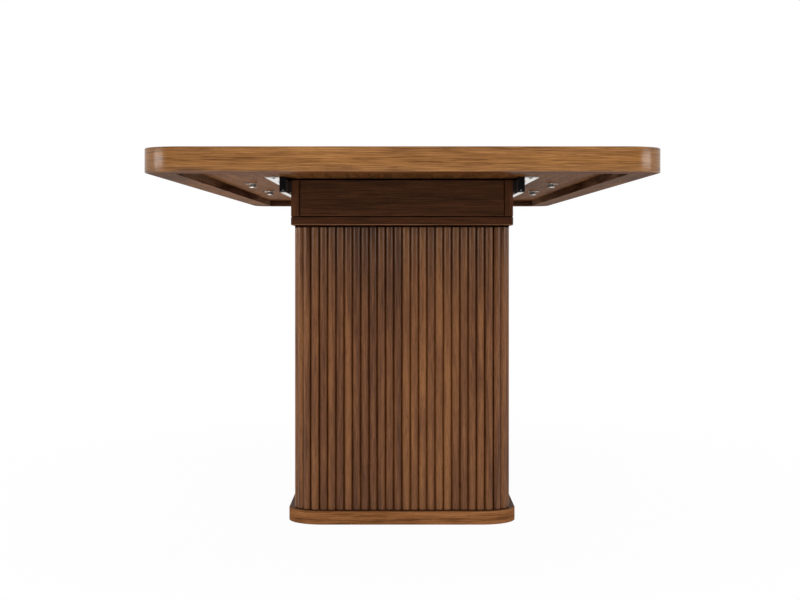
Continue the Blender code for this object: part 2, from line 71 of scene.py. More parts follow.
# Angles up to which neighbouring faces are shaded as one.
BOARD_SMOOTH = radians(14)
KNUCKLE_SMOOTH = radians(20)
SHEET_SMOOTH = radians(30)
ROUND_SMOOTH = radians(40)
# How a copy of a CAD node is cleaned, and which of its edges are then eased.
MERGE_DISTANCE = 1e-5
FLAT_ANGLE = radians(1)
SHARP_ANGLE = radians(60)
# Sines and cosines below this count as 0.
NEARLY_ZERO = 1e-6

# Detail and distortion of the noise behind a wood's figure, streaks and pores.
FIGURE_NOISE = (2.0, 0.3)
STREAK_NOISE = (4.0, 0.2)
PORE_NOISE = (2.0, 0.0)
# Where a wood's dark, middle and light colours lie in the pattern, and where its pores start and end.
COLOUR_STOPS = (0.3, 0.5, 0.72)
PORE_RANGE = (0.56, 0.7)
# How much rougher the dark streaks of a wood are, and how much smoother the light ones.
STREAK_GLOSS = (0.08, 0.06)
# How far a leaf's tone moves its pattern, so that no two slats are alike.
TONE_SHIFT = (3.1, 1.7, 5.3)
# Strength of the relief on woods and on plain surfaces.
WOOD_RELIEF = 0.5
PLAIN_RELIEF = 0.4

ENDS = {"front": -1, "rear": 1}
SIDES = {"left": -1, "right": 1}

Point = tuple[float, float]
Place = tuple[float, float, float]
Ring = list[Vector]
Inputs = dict[str | int, object]
Shelf = dict[str, Material]

log = logging.getLogger("extending_dining_table")


def linear(colour: str) -> tuple[float, float, float, float]:
    """Turn an sRGB hex colour to linear light, by the curve of the sRGB standard.

    Args:
        colour: Six hex digits after a hash mark.

    Returns:
        Red, green, blue and an alpha of 1.
    """
    parts = [int(colour[place:place + 2], 16) / 255 for place in (1, 3, 5)]
    red, green, blue = (p / 12.92 if p <= 0.04045 else ((p + 0.055) / 1.055) ** 2.4 for p in parts)
    return red, green, blue, 1.0


def wire(tree: NodeTree, node: Node, inputs: Inputs) -> None:
    """Give a node's inputs their values and links.

    Args:
        tree: Tree that the node is in.
        node: The node.
        inputs: Values, output sockets, or nodes for their first output, by the input's name or number.
    """
    for name, value in inputs.items():
        source = value.outputs[0] if isinstance(value, Node) else value
        if isinstance(source, NodeSocket):
            tree.links.new(source, node.inputs[name])
        else:
            node.inputs[name].default_value = source


def add_node(tree: NodeTree, kind: str, inputs: Inputs | None = None, **settings: object) -> Node:
    """Add a node to a tree, with its settings, values and links.

    Args:
        tree: Shader or geometry tree that gets the node.
        kind: Blender's name for the node's type.
        inputs: What goes into the node, as in wire.
        **settings: Attributes of the node itself.

    Returns:
        The new node.
    """
    node = tree.nodes.new(kind)
    for name, value in settings.items():
        setattr(node, name, value)
    wire(tree, node, inputs or {})
    return node


class Grain(Enum):
    """Ways that wood fibres run, as whether each axis lies along them."""

    ALONG_X = (True, False, False)
    ALONG_Y = (False, True, False)
    ALONG_Z = (False, False, True)
    LEVEL = (True, True, False)

    def repeats(self, width_mm: float, length_mm: float) -> list[float]:
        """Give a pattern's repeats a metre on each axis, from its width and length in millimetres."""
        return [MM_PER_M / (length_mm if along else width_mm) for along in self.value]


@dataclass(frozen=True)
class Finish:
    """What every finish has: a name, and a material with its own surface."""

    name: str

    def build(self) -> Material:
        """Make the material.

        Returns:
            A Principled material whose pattern lies in Object coordinates.
        """
        material = bpy.data.materials.new(self.name)
        material.use_nodes = True
        tree = material.node_tree
        wire(tree, tree.nodes["Principled BSDF"], self.surface(tree))
        return material

    def surface(self, tree: NodeTree) -> Inputs:
        """Add the nodes of the surface to a tree, and give what goes into its shader."""
        raise NotImplementedError


@dataclass(frozen=True)
class WoodFinish(Finish):
    """Sliced wood under satin lacquer: flame figure, long dark streaks, and fine open pores.

    The streaks and pores are drawn about twice as coarse as real ones, so that they show in the render.
    """

    light: str
    middle: str
    dark: str
    grain: Grain
    figure_mm: Point = (46.0, 900.0)
    rings: float = 5.0
    streak_mm: Point = (2.2, 60.0)
    pore_mm: Point = (1.6, 15.0)
    figure_share: float = 0.3
    pore_depth: float = 0.5
    roughness: float = 0.38
    specular: float = 0.15
    coat: float = 0.0
    coat_roughness: float = 0.2
    bump_mm: float = 0.12
    tone_name: str = ""
    tone_reach: float = 0.5

    def surface(self, tree: NodeTree) -> Inputs:
        """Add the nodes of figure, streaks and pores.

        Args:
            tree: The material's tree.

        Returns:
            What goes into the Principled shader.
        """
        node = partial(add_node, tree)
        place = node("ShaderNodeTexCoord").outputs["Object"]
        tone = None
        if self.tone_name:
            tone = node("ShaderNodeAttribute", attribute_name=self.tone_name).outputs["Fac"]
            shift = node("ShaderNodeVectorMath", {0: tone, 1: TONE_SHIFT}, operation="MULTIPLY")
            place = node("ShaderNodeVectorMath", {0: place, 1: shift}, operation="ADD")

        noise = {}
        for key, size_mm, (detail, distortion) in (
            ("figure", self.figure_mm, FIGURE_NOISE),
            ("streak", self.streak_mm, STREAK_NOISE),
            ("pore", self.pore_mm, PORE_NOISE),
        ):
            scaled = node("ShaderNodeMapping", {"Vector": place, "Scale": self.grain.repeats(*size_mm)})
            spread = {"Vector": scaled, "Scale": 1.0, "Detail": detail, "Distortion": distortion}
            noise[key] = node("ShaderNodeTexNoise", spread)

        turns = {0: noise["figure"], 1: 2 * pi * self.rings}
        turned = node("ShaderNodeMath", turns, operation="MULTIPLY")
        wave = node("ShaderNodeMath", {0: turned}, operation="SINE")
        flame = node("ShaderNodeMapRange", {"Value": wave, "From Min": -1.0})
        shares = {"Factor": self.figure_share, 2: noise["streak"], 3: flame}
        blend = node("ShaderNodeMix", shares, data_type="FLOAT")
        if tone is not None:
            shares = {"Factor": self.tone_reach, 2: blend, 3: tone}
            blend = node("ShaderNodeMix", shares, data_type="FLOAT")

        ramp = node("ShaderNodeValToRGB", {"Fac": blend})
        stops = ramp.color_ramp.elements
        stops[0].position, middle, stops[1].position = COLOUR_STOPS
        stops[0].color = linear(self.dark)
        stops[1].color = linear(self.light)
        stops.new(middle).color = linear(self.middle)

        start, end = PORE_RANGE
        pores = node("ShaderNodeMapRange", {"Value": noise["pore"], "From Min": start, "From Max": end})
        shade = node("ShaderNodeMath", {0: pores, 1: self.pore_depth}, operation="MULTIPLY")
        colours = {"Factor": shade, 6: ramp, 7: linear(self.dark)}
        rougher, smoother = STREAK_GLOSS
        reach = {"To Min": self.roughness + rougher, "To Max": self.roughness - smoother}
        height = node("ShaderNodeMath", {0: noise["streak"], 1: pores}, operation="SUBTRACT")
        relief = {"Height": height, "Strength": WOOD_RELIEF, "Distance": self.bump_mm / MM_PER_M}
        return {
            "Base Color": node("ShaderNodeMix", colours, data_type="RGBA").outputs[2],
            "Roughness": node("ShaderNodeMapRange", {"Value": noise["streak"], **reach}),
            "Normal": node("ShaderNodeBump", relief),
            "Specular IOR Level": self.specular,
            "Coat Weight": self.coat,
            "Coat Roughness": self.coat_roughness,
        }


class Speck(Enum):
    """Kinds of pattern on a plain surface: cloudy, or in crystals."""

    CLOUD = "ShaderNodeTexNoise"
    CRYSTAL = "ShaderNodeTexVoronoi"


@dataclass(frozen=True)
class PlainFinish(Finish):
    """A metal, plastic or board whose colour, gloss and surface vary a little in specks."""

    light: str
    dark: str
    speck: Speck
    speck_mm: float
    roughness: Point
    metallic: float = 0.0
    specular: float = 0.5
    bump_mm: float = 0.03

    def surface(self, tree: NodeTree) -> Inputs:
        """Add the nodes of the specks.

        Args:
            tree: The material's tree.

        Returns:
            What goes into the Principled shader.
        """
        node = partial(add_node, tree)
        place = node("ShaderNodeTexCoord").outputs["Object"]
        specks = node(self.speck.value, {"Vector": place, "Scale": MM_PER_M / self.speck_mm})
        value = specks.outputs[0]
        if self.speck is Speck.CRYSTAL:
            value = node("ShaderNodeSeparateColor", {0: specks.outputs["Color"]}).outputs[0]
        colours = {"Factor": value, 6: linear(self.dark), 7: linear(self.light)}
        reach = dict(zip(("To Min", "To Max"), self.roughness))
        relief = {"Height": value, "Strength": PLAIN_RELIEF, "Distance": self.bump_mm / MM_PER_M}
        return {
            "Base Color": node("ShaderNodeMix", colours, data_type="RGBA").outputs[2],
            "Roughness": node("ShaderNodeMapRange", {"Value": value, **reach}),
            "Normal": node("ShaderNodeBump", relief),
            "Metallic": self.metallic,
            "Specular IOR Level": self.specular,
        }


# Dark stained walnut: the stain closes the figure to faint level lines.
STAINED_WALNUT = WoodFinish(
    "stained_walnut_across", "#634028", "#513322", "#372417", Grain.ALONG_X,
    figure_share=0.1, streak_mm=(1.8, 70.0), roughness=0.5, specular=0.03,
)
# Dark wood put in the upright joints of the box as painted shade, where shade falls in the grooves between
# boards.
PAINTED_SHADE_WOOD = WoodFinish(
    "stained_joint", "#42260F", "#351D0C", "#241307", Grain.LEVEL, roughness=0.6, specular=0.0
)

FINISHES = (
    # Walnut veneer on the top: warm, streaked along the table, under a satin film of lacquer.
    WoodFinish(
        "walnut_veneer_top", "#9E703D", "#875C30", "#61401F", Grain.ALONG_Y, figure_mm=(60.0, 2600.0),
        rings=4.0, figure_share=0.16, streak_mm=(3.6, 260.0), pore_mm=(1.6, 30.0),
        specular=0.0, coat=0.2, coat_roughness=0.3,
    ),
    # Walnut edge banding: the same wood, with short flecks that lie level all the way round.
    WoodFinish(
        "walnut_edge_banding", "#966836", "#7D5226", "#503115", Grain.LEVEL, figure_share=0.12,
        streak_mm=(1.6, 60.0), pore_mm=(1.2, 28.0), pore_depth=0.6,
        specular=0.0, coat=0.7, coat_roughness=0.22,
    ),
    # Walnut veneer below: a thin film of lacquer on dull wood, which mirrors only at a low angle.
    WoodFinish(
        "walnut_veneer_underside", "#744B2A", "#644022", "#482B16", Grain.ALONG_Y, figure_share=0.15,
        specular=0.0, coat=0.1,
    ),
    WoodFinish(
        "walnut_veneer_underside_across", "#7A4C2B", "#6A4123", "#4C2C17", Grain.ALONG_X,
        specular=0.0, coat=0.1,
    ),
    # Walnut with hardly any lacquer on the walls of the recess: dull, and mostly in the shade.
    WoodFinish(
        "walnut_recess_wall", "#7C5E48", "#6C4F3C", "#4C3527", Grain.ALONG_Y, specular=0.0, coat=0.01
    ),
    # The stained walnut as each board has it: a shade lighter on end grain, and darker on the cap.
    STAINED_WALNUT,
    replace(STAINED_WALNUT, name="stained_walnut_along", grain=Grain.ALONG_Y),
    replace(
        STAINED_WALNUT, name="stained_walnut_upright",
        light="#70472D", middle="#5E3925", dark="#3F2918", grain=Grain.ALONG_Z,
    ),
    replace(
        STAINED_WALNUT, name="stained_walnut_cap", light="#603B24", middle="#4F301F", dark="#352315"
    ),
    # Backing painted deep brown as painted shade, so that the grooves between the slats read as dark
    # lines.
    replace(
        PAINTED_SHADE_WOOD, name="stained_slat_backing",
        light="#2A170B", middle="#201008", dark="#140905", grain=Grain.ALONG_Z,
    ),
    PAINTED_SHADE_WOOD,
    # Nearly black wood as painted shade: a dark line in the groove under the box, and painted shade below
    # the cap.
    replace(PAINTED_SHADE_WOOD, name="blackened_joint", light="#1C0D06", middle="#140904", dark="#0C0502"),
    # Lighter walnut on the cap's lower eased edge: a painted highlight, where the edge catches the light
    # from below.
    WoodFinish(
        "rubbed_walnut_edge", "#9A6B4C", "#85593D", "#6A442C", Grain.LEVEL, roughness=0.5, specular=0.05
    ),
    # Walnut slats, cut in leaves that differ in tone: upright streaks, and lacquer that glints.
    WoodFinish(
        "walnut_slats", "#875933", "#694125", "#452816", Grain.ALONG_Z, figure_mm=(24.0, 420.0),
        rings=3.0, figure_share=0.2, streak_mm=(1.7, 45.0), tone_name="slat_tone", tone_reach=0.25,
        specular=0.0, coat=0.45, coat_roughness=0.2,
    ),
    # Walnut plinth: level streaks like the edge banding's, in a redder brown with hardly any lacquer.
    WoodFinish(
        "walnut_plinth", "#9C6A43", "#865834", "#5C3920", Grain.LEVEL, figure_share=0.15,
        specular=0.0, coat=0.02,
    ),
    # Beech dowel rod: pale and close grained, without lacquer.
    WoodFinish(
        "beech_dowel", "#D6B07F", "#C79C6A", "#A87C4E", Grain.ALONG_Y, figure_share=0.1, roughness=0.6
    ),
    # Zinc plated sheet: bright, with faint crystals of spangle.
    PlainFinish("zinc_plate", "#E2DFDA", "#C9C6C1", Speck.CRYSTAL, 5.0, (0.34, 0.24), metallic=1.0),
    # Tumbled zinc bolts: the same metal with a greyer, satin face.
    PlainFinish("satin_zinc", "#B9B5AE", "#9D9992", Speck.CRYSTAL, 5.0, (0.46, 0.38), metallic=1.0),
    # Passivated zinc screws: greyer and duller than the sheet.
    PlainFinish("dark_zinc", "#8E9295", "#6B6F73", Speck.CLOUD, 2.0, (0.4, 0.3), metallic=1.0),
    # Black coated rolled steel: nearly black, with a dull shine on its folds.
    PlainFinish("black_coated_steel", "#161515", "#0A0909", Speck.CLOUD, 1.5, (0.42, 0.34)),
    # Moulded black plastic: matt, finely grained.
    PlainFinish("black_nylon", "#0E0D0D", "#070606", Speck.CLOUD, 0.8, (0.6, 0.5), specular=0.1),
    # Drawn brass: yellow, a little dulled by handling.
    PlainFinish("satin_brass", "#C9A45C", "#B08C47", Speck.CLOUD, 3.0, (0.38, 0.3), metallic=1.0),
    # Raw fibreboard: flat brown with specks of fibre.
    PlainFinish("raw_fibreboard", "#A98963", "#8C6E4C", Speck.CLOUD, 1.2, (0.9, 0.8), bump_mm=0.08),
)


def arc(centre: Point, radius: float, start: float, end: float, steps: int) -> list[Point]:
    """Give the points of an arc from one angle to another, both ends included, in straight steps."""
    angles = [start + (end - start) * step / steps for step in range(steps + 1)]
    return [(centre[0] + radius * cos(a), centre[1] + radius * sin(a)) for a in angles]


def circle(centre: Point, radius: float, steps: int = ROUND_STEPS) -> list[Point]:
    """Give the points of a circle."""
    return arc(centre, radius, 0, 2 * pi, steps)[:-1]


def star(reach: Callable[[float], float]) -> list[Point]:
    """Give the points of a closed outline from how far it reaches at each angle."""
    angles = [2 * pi * step / ROUND_STEPS for step in range(ROUND_STEPS)]
    return [(reach(angle) * cos(angle), reach(angle) * sin(angle)) for angle in angles]


def round_corners(points: list[Point], radii: list[float], steps: int = EASE_STEPS) -> list[Point]:
    """Round the corners of a closed outline.

    Args:
        points: Its corners, in order.
        radii: A radius for each corner, with 0 for a sharp one.
        steps: Straight steps in each round corner.

    Returns:
        The rounded outline.
    """
    rounded: list[Point] = []
    for index, (corner, radius) in enumerate(zip(points, radii)):
        if radius <= 0:
            rounded.append(corner)
            continue
        here = Vector(corner)
        back = (Vector(points[index - 1]) - here).normalized()
        ahead = (Vector(points[(index + 1) % len(points)]) - here).normalized()
        half = back.angle(ahead) / 2
        centre = here + (back + ahead).normalized() * (radius / sin(half))
        setback = radius * cos(half) / sin(half)
        first = here + back * setback - centre
        last = here + ahead * setback - centre
        turn = atan2(first.cross(last), first.dot(last))
        start = atan2(first.y, first.x)
        rounded += arc(tuple(centre), radius, start, start + turn, steps)
    return rounded


def rounded_rectangle(width: float, length: float, radius: float, inset: float) -> list[Point]:
    """Give a centred rectangle with round corners, drawn in by an inset.

    Args:
        width: Its width before it is drawn in.
        length: Its length before it is drawn in.
        radius: Radius of its corners before it is drawn in.
        inset: How far it is drawn in.

    Returns:
        The outline, anticlockwise.
    """
    points: list[Point] = []
    for quarter, (side, end) in enumerate(((1, 1), (-1, 1), (-1, -1), (1, -1))):
        centre = (side * (width / 2 - radius), end * (length / 2 - radius))
        start = quarter * pi / 2
        points += arc(centre, radius - inset, start, start + pi / 2, CORNER_STEPS)
    return points


def level_ring(outline: list[Point], z: float) -> Ring:
    """Lay an outline level at a height."""
    return [Vector((x, y, z)) for x, y in outline]


def upright_ring(outline: list[Point], y: float) -> Ring:
    """Stand an outline, given across and up, at a place along the table."""
    return [Vector((x, y, z)) for x, z in outline]


def loft(rings: list[Ring]) -> BMesh:
    """Skin a row of closed rings and cap both ends.

    Args:
        rings: Rings with the same number of points each.

    Returns:
        A closed shape with its faces outwards.
    """
    shape = bmesh.new()
    rows = [[shape.verts.new(point) for point in ring] for ring in rings]
    for low, high in zip(rows, rows[1:]):
        for index in range(len(low)):
            shape.faces.new((low[index - 1], low[index], high[index], high[index - 1]))
    shape.faces.new(rows[0])
    shape.faces.new(rows[-1])
    bmesh.ops.recalc_face_normals(shape, faces=shape.faces)
    return shape


def eased_levels(low: float, high: float, low_ease: float, high_ease: float) -> list[Point]:
    """Give the side of a slab with round edges, as how far in and how high each level lies.

    Args:
        low: Height of the bottom.
        high: Height of the top.
        low_ease: Radius of the bottom edge, or 0.
        high_ease: Radius of the top edge, or 0.

    Returns:
        Pairs of inset and height, from the bottom up.
    """
    levels = [(0.0, low)]
    if low_ease > 0:
        levels = arc((low_ease, low + low_ease), low_ease, -pi / 2, -pi, EASE_STEPS)
    if high_ease > 0:
        return levels + arc((high_ease, high - high_ease), high_ease, pi, pi / 2, EASE_STEPS)
    return levels + [(0.0, high)]


def slab(outline: Callable[[float], list[Point]], levels: list[Point]) -> BMesh:
    """Stack an outline, drawn in by each level's inset, into a solid."""
    return loft([level_ring(outline(inset), z) for inset, z in levels])


def headed(recess: list[Point], depth: float, levels: list[Point], radius: float) -> BMesh:
    """Make a screw head that hangs down, with a recess for the driver.

    Args:
        recess: Outline of the recess.
        depth: How deep it is.
        levels: Insets and heights of the head, from its lowest face up.
        radius: Its largest radius.

    Returns:
        The closed shape, about the Z axis.
    """
    face = levels[0][1]
    rings = [level_ring(recess, z) for z in (face + depth, face)]
    rings += [level_ring(circle((0.0, 0.0), radius - inset), z) for inset, z in levels]
    return loft(rings)


def merge(*shapes: BMesh) -> BMesh:
    """Put several shapes into one.

    Args:
        *shapes: The shapes, which are used up.

    Returns:
        The whole.
    """
    whole = bmesh.new()
    for shape in shapes:
        mesh = bpy.data.meshes.new("part")
        shape.to_mesh(mesh)
        shape.free()
        whole.from_mesh(mesh)
        bpy.data.meshes.remove(mesh)
    return whole


def make_piece(name: str, shape: BMesh, *materials: Material, smooth: float = BOARD_SMOOTH) -> Object:
    """Make an object at the origin from a shape.

    Args:
        name: The piece's name.
        shape: Its shape, which is used up.
        *materials: Its finishes.
        smooth: Angle up to which neighbouring faces are shaded as one.

    Returns:
        The object.
    """
    mesh = bpy.data.meshes.new(name)
    shape.to_mesh(mesh)
    shape.free()
    for material in materials:
        mesh.materials.append(material)
    mesh.shade_smooth()
    mesh.set_sharp_from_angle(angle=smooth)
    piece = bpy.data.objects.new(name, mesh)
    bpy.context.scene.collection.objects.link(piece)
    return piece


def eased_copy(name: str, node: str, ease: float, *materials: Material) -> Object:
    """Copy a CAD node as a piece with eased edges.

    Args:
        name: The piece's name.
        node: The CAD node.
        ease: Radius of its edges.
        *materials: Its finishes.

    Returns:
        The object.
    """
    shape = bmesh.new()
    shape.from_mesh(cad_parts[node].data)
    bmesh.ops.remove_doubles(shape, verts=shape.verts, dist=MERGE_DISTANCE)
    bmesh.ops.dissolve_limit(shape, angle_limit=FLAT_ANGLE, verts=shape.verts, edges=shape.edges)
    sharp = [edge for edge in shape.edges if edge.calc_face_angle(0.0) > SHARP_ANGLE]
    bmesh.ops.bevel(
        shape, geom=sharp, offset=ease, segments=EASE_STEPS - 1, profile=0.5,
        affect="EDGES", clamp_overlap=True,
    )
    return make_piece(name, shape, *materials)


def flatten(piece: Object) -> None:
    """Turn an object's modifiers into plain mesh, and take them off.

    Args:
        piece: The object.
    """
    bpy.context.view_layer.update()
    graph = bpy.context.evaluated_depsgraph_get()
    mesh = bpy.data.meshes.new_from_object(piece.evaluated_get(graph))
    piece.modifiers.clear()
    piece.data = mesh
    mesh.name = piece.name


def paint(piece: Object, finish: int, rule: Callable[[MeshPolygon], bool]) -> None:
    """Give one of a piece's finishes to the faces that follow a rule.

    Args:
        piece: The piece.
        finish: Number of the finish.
        rule: Tells whether a face gets it.
    """
    for face in piece.data.polygons:
        if rule(face):
            face.material_index = finish


def seat(piece: Object, body: str, slot: str, *nodes: str) -> Object:
    """Let a finished piece ride on a body and stand for CAD nodes.

    Args:
        piece: The piece.
        body: Body that it rides on.
        slot: Not used.
        *nodes: CAD nodes that it stands for.

    Returns:
        The piece.
    """
    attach(piece, body)
    if nodes:
        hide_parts(*nodes)
    return piece


@dataclass
class Pattern:
    """A Geometry Nodes tree that sets one shape on every point, and is then made plain mesh."""

    name: str

    def __post_init__(self) -> None:
        """Start the tree with its geometry sockets."""
        self.tree = bpy.data.node_groups.new(self.name, "GeometryNodeTree")
        for way in ("INPUT", "OUTPUT"):
            self.tree.interface.new_socket("Geometry", in_out=way, socket_type="NodeSocketGeometry")

    def sockets(self, **kinds: str) -> dict[str, NodeSocket]:
        """Add named inputs.

        Args:
            **kinds: Kind of value for each input, whose name has underscores for spaces.

        Returns:
            The sockets inside the tree, by name.
        """
        for name, kind in kinds.items():
            title = name.replace("_", " ")
            self.tree.interface.new_socket(title, in_out="INPUT", socket_type=f"NodeSocket{kind}")
        group = add_node(self.tree, "NodeGroupInput")
        return {socket.name: socket for socket in group.outputs if socket.name}

    def turned(self, points: NodeSocket, shape: Node | NodeSocket, **size: NodeSocket) -> Node:
        """Set a shape on points, turned about Z as each point says.

        Args:
            points: Where the shape stands.
            shape: The shape.
            **size: Its scale, if it has one.

        Returns:
            The node with the instances.
        """
        node = partial(add_node, self.tree)
        turn = node("GeometryNodeInputNamedAttribute", {"Name": "turn"}, data_type="FLOAT")
        spin = node("ShaderNodeCombineXYZ", {"Z": turn})
        placed = {"Points": points, "Instance": shape, "Rotation": spin, **size}
        return node("GeometryNodeInstanceOnPoints", placed)

    def close(self, instances: Node, finish: NodeSocket) -> None:
        """Realize the instances, set their finish and end the tree.

        Args:
            instances: Node that gives them.
            finish: Their material.
        """
        node = partial(add_node, self.tree)
        real = node("GeometryNodeRealizeInstances", {0: instances})
        smooth = node("GeometryNodeSetShadeSmooth", {"Geometry": real})
        dressed = node("GeometryNodeSetMaterial", {"Geometry": smooth, "Material": finish})
        node("NodeGroupOutput", {0: dressed})

    def run(self, name: str, points: list[Vector], turns: list[float], values: Inputs) -> Object:
        """Run the tree on points.

        Args:
            name: The piece's name.
            points: Where the shapes stand.
            turns: Each shape's angle about Z.
            values: The tree's inputs, by name.

        Returns:
            The piece, as plain mesh.
        """
        mesh = bpy.data.meshes.new(name)
        mesh.from_pydata(points, [], [])
        mesh.attributes.new("turn", "FLOAT", "POINT").data.foreach_set("value", turns)
        piece = bpy.data.objects.new(name, mesh)
        bpy.context.scene.collection.objects.link(piece)
        modifier = piece.modifiers.new(self.name, "NODES")
        modifier.node_group = self.tree
        for item in self.tree.interface.items_tree:
            if item.in_out == "INPUT" and item.name in values:
                modifier[item.identifier] = values[item.name]
        flatten(piece)
        piece.data.set_sharp_from_angle(angle=ROUND_SMOOTH)
        return piece


class SlatPattern(Pattern):
    """Half-round slats that stand on points, in leaves of veneer that share most of their tone."""

    def __post_init__(self) -> None:
        """Build the tree."""
        super().__post_init__()
        node = partial(add_node, self.tree)
        given = self.sockets(
            Slat_Radius="Float", Slat_Sweep="Float", Slat_Sink="Float", Slat_Height="Float", Facets="Int",
            Leaf_Start="Float", Leaf_Slats="Float", Leaf_Share="Float", Seed="Int", Finish="Material",
        )
        half = node("ShaderNodeMath", {0: given["Slat Sweep"], 1: 0.5}, operation="MULTIPLY")
        bow = node(
            "GeometryNodeCurveArc",
            {
                "Resolution": given["Facets"],
                "Radius": given["Slat Radius"],
                "Start Angle": node("ShaderNodeMath", {0: -pi / 2, 1: half}, operation="SUBTRACT"),
                "Sweep Angle": given["Slat Sweep"],
            },
        )
        sink = node("ShaderNodeCombineXYZ", {"Y": given["Slat Sink"]})
        seated = node("GeometryNodeSetPosition", {"Geometry": bow, "Offset": sink})
        section = node("GeometryNodeSetSplineCyclic", {0: seated, "Cyclic": True})
        rise = node("ShaderNodeCombineXYZ", {"Z": given["Slat Height"]})
        spine = node("GeometryNodeCurvePrimitiveLine", {"End": rise})
        swept = {"Curve": spine, "Profile Curve": section, "Fill Caps": True}
        stood = self.turned(given["Geometry"], node("GeometryNodeCurveToMesh", swept))

        index = {0: node("GeometryNodeInputIndex"), 1: given["Leaf Start"]}
        counted = {0: node("ShaderNodeMath", index, operation="ADD"), 1: given["Leaf Slats"]}
        leaves = node("ShaderNodeMath", counted, operation="DIVIDE")
        leaf = {"ID": node("ShaderNodeMath", {0: leaves}, operation="FLOOR")}
        seed = {"Seed": given["Seed"]}
        own = node("FunctionNodeRandomValue", seed, data_type="FLOAT").outputs[1]
        shared = node("FunctionNodeRandomValue", {**leaf, **seed}, data_type="FLOAT").outputs[1]
        shares = {"Factor": given["Leaf Share"], 2: own, 3: shared}
        tone = node("ShaderNodeMix", shares, data_type="FLOAT")
        toned = node(
            "GeometryNodeStoreNamedAttribute",
            {"Geometry": stood, "Name": "slat_tone", "Value": tone},
            data_type="FLOAT",
            domain="INSTANCE",
        )
        self.close(toned, given["Finish"])


class FastenerPattern(Pattern):
    """Copies of one fastener that sit on points."""

    def __post_init__(self) -> None:
        """Build the tree."""
        super().__post_init__()
        given = self.sockets(Fastener="Object", Size="Float", Finish="Material")
        blank = add_node(self.tree, "GeometryNodeObjectInfo", {"Object": given["Fastener"]})
        set_out = self.turned(given["Geometry"], blank.outputs["Geometry"], Scale=given["Size"])
        self.close(set_out, given["Finish"])

    def fasten(
        self, name: str, shape: BMesh, points: list[Vector], turns: list[float], finish: Material
    ) -> Object:
        """Set copies of a fastener's shape on points.

        Args:
            name: The piece's name.
            shape: The fastener, which is used up.
            points: Where the copies sit.
            turns: Each copy's angle about Z.
            finish: Their finish.

        Returns:
            The piece, as plain mesh.
        """
        blank = make_piece("fastener_blank", shape, smooth=ROUND_SMOOTH)
        piece = self.run(name, points, turns, {"Fastener": blank, "Size": 1.0, "Finish": finish})
        bpy.data.objects.remove(blank)
        return piece


